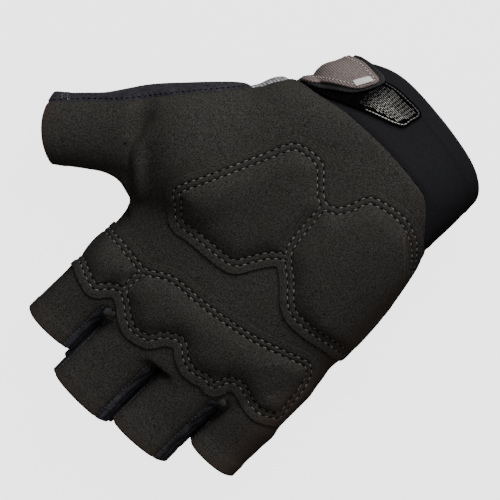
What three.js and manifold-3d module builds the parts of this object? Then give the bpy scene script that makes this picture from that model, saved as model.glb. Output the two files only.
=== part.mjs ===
// A right-hand fingerless cycling glove, filled out as if worn and lying on its back.
// +Z points out of the palm, +Y to the fingers and +X to the thumb. The origin is on the flat of the back.
import * as THREE from 'three';
import Module from 'manifold-3d';
import { mergeVertices } from 'three/addons/utils/BufferGeometryUtils.js';

const wasm = await Module();
wasm.setup();

// Driving sizes of the hand part, in millimetres
const wristToOrigin = 73; // from the origin back to the sides of the cuff's mouth
const palmLength = 123; // from the sides of the mouth to the finger crotches
const knuckleWidth = 95.5;
const wristWidth = 75;
const knuckleDepth = 23.5;
const wristDepth = 43;
const mouthLead = 11; // how much further the cuff reaches on the palm side than at its sides
const mouthSlant = 3; // how much further it reaches on the thumb side than in the middle
const clothWall = 1.8;
const seamGap = 0.3; // between two pieces that are sewn together
const seamDrop = 1.5; // how far the back panel's seam lies below the widest line of the hand

// Driving sizes of the fingers and the thumb
const fingerWidth = 26.4;
const fingerDepth = 21.5;
const fingerReach = 28; // from the crotch line to the hem of the middle finger
const fingerRoot = 30; // how far a finger's tube starts inside the palm
const hemLead = 2.6; // how much further a hem reaches on the palm side than at its sides
const thumbLength = 80;
const thumbWidth = 26.4;
const thumbDepth = 23;
const thumbTurn = THREE.MathUtils.degToRad(45);
const thumbRootAt = { across: 0.312, along: 0.304 }; // shares of the knuckle width and palm length
const thumbSeamHeight = 0.42 * thumbDepth; // the lower edge of the thumb's palm side
const stripWidth = 3.4; // how wide a fourchette shows beside its finger
const stripUnder = 1.2; // how far it runs under the next finger's edge
const stripBehind = 4; // how far it runs back past the crotch
const stripLow = 0.2 * fingerDepth;

// Driving sizes of the overlays, the cuff and the strap
const overlayThickness = 1.2;
const padHeight = 3.4;
const seamMargin = 1.3; // half the width of a double row of stitches
const overlayMargin = 4; // from the middle of the double row to the cut edge
const patchThickness = 0.8;
const strapThickness = 1;
const tabThickness = 1.2;
const labelThickness = 0.5;
const strapWidth = 17.5;
const strapBackReach = 46; // how far the strap runs round the back
const strapAnchor = 12; // sewn length at its end on the back
const strapSlope = 0.1; // how fast it draws back from the cuff's mouth there
const strapInset = 0.5; // from the mouth's thumb side to the strap's edge
const overlayLow = 0.3 * wristDepth; // an overlay lies above this height

// How square each section is: 1 is an ellipse, and less is squarer. The flats widen the underside.
const handSquare = 0.78;
const handFlat = 1.35;
const fingerSquare = 0.86;
const fingerFlat = 1.12;
const thumbSquare = 0.9;

// The hollow of the palm, as shares of the knuckle width
const hollowAt = 0.03;
const hollowWidth = 0.2;

// Sections of the hand, from the cuff's mouth to the crotches. left and right are shares of the
// width there, height, side, lift and hollow are shares of the depth there.
const handRows = [
  { along: 0, left: -0.567, right: 0.313, height: 0.93, side: 0.47, lift: 0.115, hollow: 0 },
  { along: 0.07, left: -0.566, right: 0.35, height: 0.98, side: 0.47, lift: 0.115, hollow: 0.02 },
  { along: 0.14, left: -0.556, right: 0.375, height: 1.04, side: 0.46, lift: 0.115, hollow: 0.04 },
  { along: 0.165, left: -0.55, right: 0.465, height: 1.07, side: 0.46, lift: 0.112, hollow: 0.05 },
  { along: 0.2, left: -0.545, right: 0.513, height: 1.1, side: 0.46, lift: 0.1, hollow: 0.07 },
  { along: 0.3, left: -0.562, right: 0.554, height: 1.15, side: 0.46, lift: 0.03, hollow: 0.1 },
  { along: 0.43, left: -0.58, right: 0.555, height: 1.17, side: 0.46, lift: 0, hollow: 0.13 },
  { along: 0.6, left: -0.566, right: 0.533, height: 1.15, side: 0.46, lift: 0, hollow: 0.13 },
  { along: 0.78, left: -0.55, right: 0.499, height: 1.1, side: 0.45, lift: 0, hollow: 0.07 },
  { along: 0.9, left: -0.54, right: 0.483, height: 1.06, side: 0.45, lift: 0, hollow: 0.03 },
  { along: 1, left: -0.532, right: 0.465, height: 1, side: 0.45, lift: 0, hollow: 0 },
];

// The crotch line across the hand. across is a share of the knuckle width, ahead one of the finger reach.
const crotchRows = [
  { across: -0.54, ahead: -0.28 },
  { across: -0.318, ahead: -0.09 },
  { across: -0.19, ahead: 0.13 },
  { across: -0.05, ahead: 0.23 },
  { across: 0.1, ahead: 0.21 },
  { across: 0.236, ahead: 0.14 },
  { across: 0.47, ahead: -0.05 },
];

// The finger tubes. centre is a share of the knuckle width, the others of the finger's own sizes.
const fingerRows = [
  { name: 'index', centre: 0.3565, width: 0.852, depth: 0.97, reach: 0.75, slant: 0.01 },
  { name: 'middle', centre: 0.0943, width: 1.008, depth: 1, reach: 1.1, slant: 0 },
  { name: 'ring', centre: -0.1838, width: 0.939, depth: 0.97, reach: 0.95, slant: 0.035 },
  { name: 'little', centre: -0.4309, width: 0.795, depth: 0.9, reach: 0.465, slant: 0.02 },
];

// Sections of the thumb from its root. shift and width are shares of the thumb's width,
// middle and depth are shares of its depth. The dip at 0.55 is the crease of its base.
const thumbRows = [
  { along: 0, shift: -0.235, width: 1.61, middle: 0.87, depth: 1.04 },
  { along: 0.114, shift: -0.333, width: 1.96, middle: 0.92, depth: 1.4 },
  { along: 0.228, shift: -0.379, width: 2.07, middle: 0.94, depth: 1.6 },
  { along: 0.365, shift: -0.345, width: 1.98, middle: 0.95, depth: 1.63 },
  { along: 0.479, shift: -0.246, width: 1.76, middle: 0.88, depth: 1.45 },
  { along: 0.548, shift: -0.205, width: 1.64, middle: 0.79, depth: 1.2 },
  { along: 0.607, shift: -0.174, width: 1.51, middle: 0.82, depth: 1.3 },
  { along: 0.658, shift: -0.099, width: 1.3, middle: 0.78, depth: 1.22 },
  { along: 0.73, shift: -0.049, width: 1.12, middle: 0.73, depth: 1.13 },
  { along: 0.822, shift: -0.019, width: 1.05, middle: 0.69, depth: 1.07 },
  { along: 0.927, shift: 0, width: 1, middle: 0.66, depth: 1.02 },
  { along: 1, shift: 0, width: 0.94, middle: 0.65, depth: 0.97 },
];

// Outlines seen from above. across is a share of the knuckle width, along one of the palm length.
const heelCentreSeam = [
  { across: 0.382, along: 0.615 },
  { across: 0.285, along: 0.443 },
  { across: 0.19, along: 0.275 },
  { across: 0.13, along: 0.263 },
  { across: 0.07, along: 0.263 },
  { across: -0.012, along: 0.322 },
  { across: -0.057, along: 0.352 },
  { across: -0.065, along: 0.42 },
  { across: -0.08, along: 0.5 },
  { across: -0.09, along: 0.53 },
  { across: -0.035, along: 0.572 },
  { across: 0.01, along: 0.625 },
  { across: 0.06, along: 0.658 },
  { across: 0.16, along: 0.668 },
  { across: 0.29, along: 0.678 },
  { across: 0.35, along: 0.64 },
];
const heelOuterSeam = [
  { across: -0.09, along: 0.524 },
  { across: -0.065, along: 0.42 },
  { across: -0.06, along: 0.352 },
  { across: -0.108, along: 0.32 },
  { across: -0.163, along: 0.236 },
  { across: -0.23, along: 0.215 },
  { across: -0.3, along: 0.208 },
  { across: -0.35, along: 0.219 },
  { across: -0.396, along: 0.251 },
  { across: -0.44, along: 0.34 },
  { across: -0.49, along: 0.46 },
  { across: -0.49, along: 0.61 },
  { across: -0.39, along: 0.624 },
  { across: -0.28, along: 0.631 },
  { across: -0.21, along: 0.607 },
  { across: -0.14, along: 0.557 },
];
const knuckleMainSeam = [
  { across: 0.258, along: 0.858 },
  { across: 0.231, along: 0.85 },
  { across: 0.176, along: 0.823 },
  { across: 0.12, along: 0.812 },
  { across: 0.004, along: 0.805 },
  { across: -0.15, along: 0.785 },
  { across: -0.326, along: 0.743 },
  { across: -0.43, along: 0.715 },
  { across: -0.485, along: 0.755 },
  { across: -0.492, along: 0.86 },
  { across: -0.45, along: 0.9 },
  { across: -0.37, along: 0.905 },
  { across: -0.3, along: 0.9 },
  { across: -0.25, along: 0.94 },
  { across: -0.16, along: 0.96 },
  { across: -0.1, along: 0.957 },
  { across: -0.04, along: 0.93 },
  { across: 0.01, along: 0.94 },
  { across: 0.065, along: 0.985 },
  { across: 0.13, along: 1.002 },
  { across: 0.195, along: 0.975 },
  { across: 0.25, along: 0.948 },
  { across: 0.262, along: 0.91 },
];
const knuckleIndexSeam = [
  { across: 0.262, along: 0.91 },
  { across: 0.258, along: 0.862 },
  { across: 0.33, along: 0.857 },
  { across: 0.44, along: 0.851 },
  { across: 0.452, along: 0.92 },
  { across: 0.44, along: 0.975 },
  { across: 0.36, along: 0.995 },
  { across: 0.32, along: 0.97 },
  { across: 0.28, along: 0.948 },
];

// The seam between the palm's suede and the cuff, from the thumb side to the little finger's side
const cuffSeam = [
  { across: 0.5, along: 0.115 },
  { across: 0.36, along: 0.114 },
  { across: 0.24, along: 0.114 },
  { across: 0.12, along: 0.102 },
  { across: -0.09, along: 0.098 },
  { across: -0.23, along: 0.107 },
  { across: -0.3, along: 0.118 },
  { across: -0.345, along: 0.145 },
  { across: -0.4, along: 0.19 },
  { across: -0.46, along: 0.225 },
  { across: -0.7, along: 0.24 },
];

// The edge of the thumb's back on the palm side. along is a share of the thumb's length and
// inset, from the thumb's outer side, one of its width.
const thumbSeam = [
  { along: 0.07, inset: 0.02 },
  { along: 0.11, inset: 0.075 },
  { along: 0.3, inset: 0.14 },
  { along: 0.48, inset: 0.175 },
  { along: 0.62, inset: 0.165 },
  { along: 0.75, inset: 0.11 },
  { along: 0.9, inset: 0.11 },
  { along: 1.1, inset: 0.12 },
];

// The thumb's back below its seam height. along is a share of the thumb's length, outward of its width.
const thumbBackRows = [
  { along: 0.07, outward: 1.5 },
  { along: 0.07, outward: 0.6 },
  { along: 0.34, outward: -0.35 },
  { along: 0.6, outward: -0.93 },
  { along: 0.8, outward: -1.1 },
  { along: 1.3, outward: -1.1 },
  { along: 1.3, outward: 1.5 },
];

// The grey strip on the thumb side of the wrist, outside of a slanting line
const trimRows = [
  { across: 0.457, along: 0.244 },
  { across: 0.432, along: 0.222 },
  { across: 0.411, along: 0.187 },
  { across: 0.386, along: 0.152 },
  { across: 0.352, along: 0.08 },
];

// The strap and its catch patch. across is a share of the wrist width and over one of the strap
// width, from the strap's edge at the cuff's mouth.
const tabRows = [
  { across: 0.62, over: 1 },
  { across: 0.45, over: 1 },
  { across: 0.341, over: 0.663 },
  { across: 0.231, over: 0.366 },
  { across: 0.197, over: 0.16 },
  { across: 0.176, over: -0.08 },
  { across: 0.235, over: -0.126 },
  { across: 0.304, over: -0.126 },
  { across: 0.4, over: 0 },
  { across: 0.62, over: 0 },
];
const strapRows = [
  { across: 0.62, over: 1 },
  { across: 0.45, over: 1 },
  { across: 0.356, over: 0.87 },
  { across: 0.252, over: 0.57 },
  { across: 0.207, over: 0.38 },
  { across: 0.165, over: 0.06 },
  { across: 0.155, over: -0.19 },
  { across: 0.24, over: -0.234 },
  { across: 0.32, over: -0.177 },
  { across: 0.4, over: -0.03 },
  { across: 0.62, over: 0 },
];
const patchRows = [
  { across: 0.376, over: 1.017 },
  { across: 0.197, over: 0.72 },
  { across: 0.089, over: 0.526 },
  { across: -0.059, over: 0.274 },
  { across: -0.08, over: 0.04 },
  { across: -0.087, over: -0.22 },
  { across: 0.007, over: -0.25 },
  { across: 0.096, over: -0.23 },
  { across: 0.2, over: -0.1 },
  { across: 0.32, over: 0.05 },
  { across: 0.39, over: 0.34 },
  { across: 0.4, over: 0.85 },
];
const labelRows = [
  { across: 0.265, over: 0.297 },
  { across: 0.223, over: -0.01 },
  { across: 0.193, over: -0.005 },
  { across: 0.235, over: 0.326 },
];

// How finely the solids are faceted
const handAround = 36;
const fingerAround = 16;
const thumbAround = 20;
const handStep = 0.1; // the widest step between two sections, as a share of the palm's length
const fingerSteps = 2;
const outlineSteps = 36;
const openEnd = 12; // how far the hollow's cutting solid runs out of each mouth
const seamSteps = 33; // points along the cuff's seam
const roundSteps = 6; // points round a fourchette's end
const sideSteps = 5; // stations along the side seam
const keptShare = 0.97; // a moved outline keeps this share of its distance or drops the point
const tall = 80; // above everything, for the prisms that cut the panels
const below = -1; // under everything
const farOut = 2 * palmLength; // outside of everything
const thumbClear = 2 * thumbWidth; // outside of the thumb everywhere
const mix = THREE.MathUtils.lerp;

// A reader of a table: every column at a place between its rows, on a smooth curve.
function readerOf(rows, by) {
  const columns = Object.keys(rows[0]).filter((column) => column !== by);
  const places = rows.map((row) => row[by]);
  const values = rows.flatMap((row) => columns.map((column) => row[column]));
  const room = new Float32Array(columns.length);
  const curve = new THREE.CubicInterpolant(places, values, columns.length, room);
  const first = places[0];
  const last = places[places.length - 1];
  return (at) => {
    const found = curve.evaluate(THREE.MathUtils.clamp(at, first, last));
    return Object.fromEntries(columns.map((column, i) => [column, found[i]]));
  };
}

function solidOf(geometry) {
  geometry.deleteAttribute('normal');
  geometry.deleteAttribute('uv');
  const merged = mergeVertices(geometry, 1e-4);
  const mesh = new wasm.Mesh({
    numProp: 3,
    vertProperties: merged.attributes.position.array,
    triVerts: new Uint32Array(merged.index.array),
  });
  return new wasm.Manifold(mesh);
}

// A closed loft through rings of points. Each end is closed by strips between the ring's two sides.
function loft(rings) {
  const around = rings[0].length;
  const positions = rings.flat().flatMap((point) => point.toArray());
  const index = [];
  const quad = (a, b, c, d) => index.push(a, b, c, a, c, d);
  for (let r = 0; r + 1 < rings.length; r += 1) {
    for (let i = 0; i < around; i += 1) {
      const next = (i + 1) % around;
      const low = r * around;
      const high = low + around;
      quad(low + i, high + i, high + next, low + next);
    }
  }
  const lastRing = (rings.length - 1) * around;
  for (let i = 0; i < around / 2; i += 1) {
    const far = (around - i) % around;
    const farNext = around - i - 1;
    if (i === 0) {
      index.push(0, 1, farNext);
      index.push(lastRing, lastRing + farNext, lastRing + 1);
    } else if (i === around / 2 - 1) {
      index.push(i, i + 1, far);
      index.push(lastRing + i, lastRing + far, lastRing + i + 1);
    } else {
      quad(i, i + 1, farNext, far);
      quad(lastRing + i, lastRing + far, lastRing + farNext, lastRing + i + 1);
    }
  }
  const geometry = new THREE.BufferGeometry();
  geometry.setAttribute('position', new THREE.Float32BufferAttribute(positions, 3));
  geometry.setIndex(index);
  return solidOf(geometry);
}

// One section: reach runs from -1 to 1 across, height is in millimetres and rise is 1 at the palm
// side and -1 at the back. Below its sides the section drops fast and lies flat on its low level.
function sectionPoints(around, { low, side, high, square, flat }) {
  return Array.from({ length: around }, (_, i) => {
    const turn = (i / around) * 2 * Math.PI;
    const swing = Math.cos(turn);
    const rise = Math.sin(turn);
    const reach = Math.sign(swing) * Math.abs(swing) ** square;
    const climb = Math.abs(rise) ** square;
    const under = Math.max(low, side - (side - low) * flat * climb);
    return { reach, rise, height: rise > 0 ? side + (high - side) * climb : under };
  });
}

const handAt = readerOf(handRows, 'along');
const thumbAt = readerOf(thumbRows, 'along');
const crotchAt = readerOf(crotchRows, 'across');
const crotchLine = palmLength - wristToOrigin;

const handStations = handRows.slice(1).flatMap(({ along }, i) => {
  const start = handRows[i].along;
  const parts = Math.ceil((along - start) / handStep);
  return Array.from({ length: parts }, (_, part) => mix(start, along, part / parts));
});

const crotchY = (x) => crotchLine + fingerReach * crotchAt(x / knuckleWidth).ahead;

const mouthY = (rise, reach) => -wristToOrigin - mouthLead * Math.max(rise, 0) - mouthSlant * reach;

// The hand without fingers and thumb, grown outwards by grow, from one share of its length to another.
function handSolid(grow, from, to) {
  const rings = [];
  for (const along of [from, ...handStations.filter((at) => at > from && at < to), to]) {
    const row = handAt(along);
    const width = mix(wristWidth, knuckleWidth, THREE.MathUtils.clamp(along, 0, 1));
    const depth = mix(wristDepth, knuckleDepth, THREE.MathUtils.clamp(along, 0, 1));
    const middle = ((row.left + row.right) / 2) * width;
    const half = ((row.right - row.left) / 2) * width + grow;
    const low = Math.max(row.lift * depth - grow, grow > 0 ? 0 : -grow);
    const points = sectionPoints(handAround, {
      low,
      side: row.side * depth,
      high: row.height * depth + grow,
      square: handSquare,
      flat: handFlat,
    });
    rings.push(
      points.map(({ reach, rise, height }) => {
        const x = middle + half * reach;
        const dip = Math.exp(-(((x / knuckleWidth - hollowAt) / hollowWidth) ** 2));
        const sunk = rise > 0 ? row.hollow * depth * dip * rise : 0;
        return new THREE.Vector3(x, mix(mouthY(rise, reach), crotchY(x), along), height - sunk);
      }),
    );
  }
  return loft(rings);
}

// A finger's tube, grown by grow, running past its hem by beyond.
function fingerSolid(row, grow, beyond) {
  const depth = fingerDepth * row.depth;
  const points = sectionPoints(fingerAround, {
    low: grow > 0 ? 0 : -grow,
    side: depth / 2,
    high: depth + grow,
    square: fingerSquare,
    flat: fingerFlat,
  });
  const half = (fingerWidth * row.width) / 2 + grow;
  const rootY = crotchLine - fingerRoot;
  const rings = Array.from({ length: fingerSteps + 1 }, (_, step) =>
    points.map(({ reach, rise, height }) => {
      const lead = hemLead * rise + row.slant * fingerWidth * reach;
      const hem = crotchLine + fingerReach * row.reach + lead + beyond;
      const x = knuckleWidth * row.centre + half * reach;
      return new THREE.Vector3(x, mix(rootY, hem, step / fingerSteps), height);
    }),
  );
  return loft(rings);
}

const thumbRoot = new THREE.Vector2(
  thumbRootAt.across * knuckleWidth,
  thumbRootAt.along * palmLength - wristToOrigin,
);
const thumbAhead = new THREE.Vector2(Math.sin(thumbTurn), Math.cos(thumbTurn));
const thumbOutward = new THREE.Vector2(Math.cos(thumbTurn), -Math.sin(thumbTurn));

// A point seen from above, by its distance along the thumb and outwards from the thumb's middle line.
function thumbSpot(along, outward) {
  return thumbRoot.clone().addScaledVector(thumbAhead, along).addScaledVector(thumbOutward, outward);
}

function thumbSolid(grow, beyond) {
  const rings = [];
  const stations = thumbRows.map(({ along }) => along);
  if (beyond > 0) {
    stations.push(1 + beyond / thumbLength);
  }
  for (const along of stations) {
    const row = thumbAt(along);
    const middle = row.middle * thumbDepth;
    const halfDepth = (row.depth * thumbDepth) / 2;
    const points = sectionPoints(thumbAround, {
      low: middle - halfDepth - grow,
      side: middle,
      high: middle + halfDepth + grow,
      square: thumbSquare,
      flat: 1,
    });
    const half = (row.width * thumbWidth) / 2 + grow;
    rings.push(
      points.map(({ reach, rise, height }) => {
        const lead = along * hemLead * rise;
        const spot = thumbSpot(along * thumbLength + lead, row.shift * thumbWidth + half * reach);
        return new THREE.Vector3(spot.x, spot.y, height);
      }),
    );
  }
  return loft(rings);
}

// The whole glove as one full body. A body that cuts the hollow runs out of every mouth.
function gloveSolid(grow, beyond) {
  const open = beyond / palmLength;
  const end = 1 + (grow < 0 ? grow : 0) / palmLength;
  let whole = handSolid(grow, -open, end).add(thumbSolid(grow, beyond));
  for (const row of fingerRows) {
    whole = whole.add(fingerSolid(row, grow, beyond));
  }
  return whole;
}

// A flat outline from above, as a prism between two heights.
function prism(points, from, to) {
  const shape = new THREE.Shape(points);
  const geometry = new THREE.ExtrudeGeometry(shape, { depth: to - from, bevelEnabled: false });
  return solidOf(geometry.translate(0, 0, from));
}

const spotOf = ({ across, along }) =>
  new THREE.Vector2(across * knuckleWidth, along * palmLength - wristToOrigin);

// A smooth closed curve through a few spots, moved outwards by grow. Points that the move
// brings back too close to the curve are dropped.
function movedOutline(spots, grow) {
  const curve = new THREE.SplineCurve([...spots, spots[0]]);
  const line = curve.getSpacedPoints(outlineSteps).slice(0, -1);
  const turned = THREE.ShapeUtils.isClockWise(line) ? -1 : 1;
  const moved = line.map((point, i) => {
    const before = line[(i + line.length - 1) % line.length];
    const after = line[(i + 1) % line.length];
    const side = after.clone().sub(before).normalize();
    return new THREE.Vector2(point.x + side.y * grow * turned, point.y - side.x * grow * turned);
  });
  const near = Math.abs(grow) * keptShare;
  return moved.filter((point) => line.every((other) => other.distanceTo(point) >= near));
}

// The layer of cloth between two heights above the glove's skin, inside a prism.
const skin = (from, to, within) =>
  gloveSolid(to, openEnd).subtract(gloveSolid(from, openEnd)).intersect(within);

// Each zone is a solid that cuts one panel out of the wall. clear widens or narrows it.
function cuffZone(clear) {
  const seam = new THREE.SplineCurve(cuffSeam.map(spotOf)).getPoints(seamSteps);
  const line = seam.map((point) => new THREE.Vector2(point.x, point.y - clear));
  const corners = [new THREE.Vector2(-farOut, -farOut), new THREE.Vector2(farOut, -farOut)];
  return prism([...line, ...corners], below, tall);
}

function edgeOut({ along, inset }) {
  const { shift, width } = thumbAt(along);
  return (shift + width / 2 - inset) * thumbWidth;
}

function thumbBackZone(clear) {
  const edge = thumbSeam.map((row) => thumbSpot(row.along * thumbLength, edgeOut(row) - clear));
  const startAt = thumbSeam[0].along * thumbLength - clear;
  const endAt = thumbSeam[thumbSeam.length - 1].along * thumbLength;
  const corners = [thumbSpot(endAt, thumbClear), thumbSpot(startAt, thumbClear)];
  const first = thumbSpot(startAt, edgeOut(thumbSeam[0]) - clear);
  const band = prism([first, ...edge.slice(1), ...corners], below, tall);
  const under = thumbBackRows.map(({ along, outward }) =>
    thumbSpot(along * thumbLength - clear, outward * thumbWidth - clear),
  );
  return band.add(prism(under, below, thumbSeamHeight + clear));
}

// The strip on the thumb side of the wrist, outside of a slanting line
function trimZone(clear) {
  const line = trimRows.map(spotOf).map((spot) => spot.add(new THREE.Vector2(-clear, 0)));
  const top = new THREE.Vector2(farOut, line[0].y);
  const bottom = new THREE.Vector2(farOut, line[line.length - 1].y);
  return prism([...line, bottom, top], below, tall);
}

// The slot between two fingers, open towards the fingertips and round at the crotch
function stripZone(border, clear) {
  const half = (stripWidth + stripUnder) / 2 + clear;
  const middle = border + (stripWidth - stripUnder) / 2;
  const back = crotchY(middle) - stripBehind + half;
  const shape = new THREE.Shape();
  shape.absarc(middle, back, half, Math.PI, 2 * Math.PI, false);
  shape.lineTo(middle + half, farOut);
  shape.lineTo(middle - half, farOut);
  return prism(shape.getPoints(roundSteps), stripLow - clear, tall);
}

// Everything below the side seam, which follows the widest line of the hand and fingers
function backZone(clear) {
  const line = Array.from({ length: sideSteps + 1 }, (_, step) => {
    const along = step / sideSteps;
    const depth = mix(wristDepth, knuckleDepth, along);
    const height = handAt(along).side * depth - seamDrop + clear;
    return new THREE.Vector2(mix(-wristToOrigin, crotchLine, along), height);
  });
  const fingerEnd = new THREE.Vector2(farOut, line[line.length - 1].y);
  const wristEnd = new THREE.Vector2(-farOut, line[0].y);
  const shape = new THREE.Shape([
    wristEnd,
    ...line,
    fingerEnd,
    new THREE.Vector2(farOut, below),
    new THREE.Vector2(-farOut, below),
  ]);
  const geometry = new THREE.ExtrudeGeometry(shape, { depth: 2 * farOut, bevelEnabled: false });
  // The profile is drawn in length and height and pushed out across the hand.
  const [across, ahead, up] = [0, 1, 2].map((axis) => new THREE.Vector3().setComponent(axis, 1));
  const turned = new THREE.Matrix4().makeBasis(ahead, up, across);
  return solidOf(geometry.applyMatrix4(turned).translate(-farOut, 0, 0));
}

const outer = gloveSolid(0, 0);
const wall = outer.subtract(gloveSolid(-clothWall, openEnd));
const cuff = wall.intersect(cuffZone(seamGap));
let hand = wall.subtract(cuffZone(0));
const thumbBack = hand.intersect(thumbBackZone(0));
hand = hand.subtract(thumbBackZone(seamGap));
const trim = hand.intersect(trimZone(0));
hand = hand.subtract(trimZone(seamGap));

const strips = [];
for (let i = 0; i + 1 < fingerRows.length; i += 1) {
  const inner = fingerRows[i];
  const border = inner.centre * knuckleWidth - (inner.width * fingerWidth) / 2;
  strips.push({
    name: `fourchette_${inner.name}_${fingerRows[i + 1].name}`,
    solid: hand.intersect(stripZone(border, 0)),
  });
  hand = hand.subtract(stripZone(border, seamGap));
}
const back = hand.intersect(backZone(0));
const palm = hand.subtract(backZone(seamGap));

// A padded overlay: a flat margin of suede with raised chambers inside the double rows of stitches
function overlay(seams) {
  let margin = null;
  let chambers = null;
  for (const seam of seams) {
    const wide = prism(movedOutline(seam.map(spotOf), overlayMargin), overlayLow, tall);
    const narrow = prism(movedOutline(seam.map(spotOf), -seamMargin), overlayLow, tall);
    margin = margin ? margin.add(wide) : wide;
    chambers = chambers ? chambers.add(narrow) : narrow;
  }
  const flat = skin(seamGap, seamGap + overlayThickness, margin);
  return flat.add(skin(seamGap, seamGap + padHeight, chambers));
}

const strapStart = -wristToOrigin - mouthSlant + strapInset;
const strapSpot = ({ across, over }) =>
  new THREE.Vector2(across * wristWidth, strapStart + over * strapWidth);
const strapSplit = handRows[0].side * wristDepth; // the widest line of the wrist

const strapTurn = handRows[0].right * wristWidth; // where the strap turns round the wrist
const anchorEnd = strapTurn - strapBackReach;

// The strap's straight run round the back, drawn back from the cuff's mouth by its slope.
function strapRun(from, to) {
  const places = to > strapTurn ? [from, strapTurn, to] : [from, to];
  const drawn = (x) => strapStart + Math.max(0, strapTurn - x) * strapSlope;
  const mouthSide = places.map((x) => new THREE.Vector2(x, drawn(x)));
  const handSide = places.map((x) => new THREE.Vector2(x, drawn(x) + strapWidth));
  return [...mouthSide, ...handSide.reverse()];
}

// An outline of the strap or its facing: its end on the palm side, and its run round the back.
function strapPrism(endRows) {
  const end = prism(endRows.map(strapSpot), strapSplit, tall);
  const run = prism(strapRun(anchorEnd, farOut), below, strapSplit);
  return end.add(run);
}

const patch = skin(seamGap, seamGap + patchThickness, prism(patchRows.map(strapSpot), strapSplit, tall));
const strapFrom = 2 * seamGap + patchThickness;
const strapTo = strapFrom + strapThickness;
const anchor = prism(strapRun(anchorEnd, anchorEnd + strapAnchor), below, strapSplit);
const strap = skin(strapFrom, strapTo, strapPrism(strapRows)).add(skin(seamGap, strapTo, anchor));
const tabFrom = strapTo + seamGap;
const tabTo = tabFrom + tabThickness;
const tab = skin(tabFrom, tabTo, strapPrism(tabRows));
const labelFrom = tabTo + seamGap;
const label = skin(
  labelFrom,
  labelFrom + labelThickness,
  prism(labelRows.map(strapSpot), strapSplit, tall),
);

// Colours and finishes
const finish = (color, roughness) => new THREE.MeshStandardMaterial({ color, roughness, metalness: 0 });
const suede = finish(0x2e2c2a, 0.95);
const stretchKnit = finish(0x202023, 0.9);
const wipeCloth = finish(0x24242b, 0.95);
const neoprene = finish(0x1e1e20, 0.7);
const hookCloth = finish(0x101011, 0.8);
const heather = finish(0x8d8d8f, 0.9);
const taupeRib = finish(0x776e69, 0.8);
const reflective = finish(0xc3c3be, 0.4);

const glove = new THREE.Group();

function piece(name, solid, material) {
  const { vertProperties, triVerts } = solid.getMesh();
  const geometry = new THREE.BufferGeometry();
  geometry.setAttribute('position', new THREE.Float32BufferAttribute(vertProperties, 3));
  geometry.setIndex(new THREE.Uint32BufferAttribute(triVerts, 1));
  geometry.computeVertexNormals();
  const mesh = new THREE.Mesh(geometry, material);
  mesh.name = name;
  glove.add(mesh);
}

piece('palm_panel', palm, suede);
piece('back_panel', back, stretchKnit);
piece('thumb_back', thumbBack, wipeCloth);
for (const { name, solid } of strips) {
  piece(name, solid, stretchKnit);
}
piece('cuff_band', cuff, neoprene);
piece('side_trim', trim, heather);
piece('heel_overlay', overlay([heelCentreSeam, heelOuterSeam]), suede);
piece('knuckle_overlay', overlay([knuckleMainSeam, knuckleIndexSeam]), suede);
piece('loop_patch', patch, hookCloth);
piece('closure_strap', strap, hookCloth);
piece('strap_tab', tab, taupeRib);
piece('reflective_label', label, reflective);

export default glove;
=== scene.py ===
import math
import bpy
import numpy as np
from mathutils import Matrix, Vector
from mathutils.kdtree import KDTree


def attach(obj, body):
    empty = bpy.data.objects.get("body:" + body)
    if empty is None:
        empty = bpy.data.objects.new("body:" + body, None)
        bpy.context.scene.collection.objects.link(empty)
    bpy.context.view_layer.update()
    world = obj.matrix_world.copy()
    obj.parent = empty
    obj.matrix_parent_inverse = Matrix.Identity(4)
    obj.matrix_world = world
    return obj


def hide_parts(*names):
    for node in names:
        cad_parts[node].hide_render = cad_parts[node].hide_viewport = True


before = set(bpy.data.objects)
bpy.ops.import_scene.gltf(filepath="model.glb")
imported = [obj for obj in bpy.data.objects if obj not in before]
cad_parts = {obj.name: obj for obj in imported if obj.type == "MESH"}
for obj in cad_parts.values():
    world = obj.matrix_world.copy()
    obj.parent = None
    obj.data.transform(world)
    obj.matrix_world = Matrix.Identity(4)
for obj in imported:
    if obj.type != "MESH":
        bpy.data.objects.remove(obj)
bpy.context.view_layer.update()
mm = 0.001

# A right-hand fingerless cycling glove, palm up. +Y points to the fingers and +X to the thumb.
# Lengths are in millimetres until a mesh is made. The rows of the hand, the fingers, the thumb and
# the panels are shares of those sizes.
hand = {
    "wristToOrigin": 73, "palmLength": 123, "knuckleWidth": 95.5, "wristWidth": 75,
    "knuckleDepth": 23.5, "wristDepth": 43, "mouthLead": 11, "mouthSlant": 3,
    "mouthTrim": 0.75, "mouthTrimSpan": (-0.95, -0.3),
    "mouthDip": 1.5, "mouthDipAt": 20.5, "mouthDipWidth": 8.5,
    "hollowAt": 0.03, "hollowWidth": 0.2, "square": 0.78, "flat": 1.35, "widensFrom": (0, 0.3),
    # along, left, right, height, side, lift, hollow
    "rows": [
        (0, -0.567, 0.313, 0.93, 0.47, 0.115, 0),
        (0.07, -0.566, 0.35, 0.98, 0.47, 0.115, 0.02),
        (0.14, -0.556, 0.375, 1.04, 0.46, 0.115, 0.04),
        (0.165, -0.55, 0.465, 1.07, 0.46, 0.112, 0.05),
        (0.2, -0.545, 0.513, 1.1, 0.46, 0.1, 0.07),
        (0.3, -0.562, 0.554, 1.15, 0.46, 0.03, 0.1),
        (0.43, -0.58, 0.555, 1.17, 0.46, 0, 0.13),
        (0.6, -0.566, 0.533, 1.15, 0.46, 0, 0.13),
        (0.78, -0.55, 0.488, 1.1, 0.45, 0, 0.07),
        (0.9, -0.54, 0.483, 1.06, 0.45, 0, 0.03),
        (1, -0.532, 0.465, 1, 0.45, 0, 0),
    ],
    # across, ahead
    "crotch": [
        (-0.54, -0.28), (-0.318, -0.09), (-0.19, 0.13), (-0.05, 0.23),
        (0.1, 0.21), (0.236, 0.14), (0.47, -0.05),
    ],
}

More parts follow.
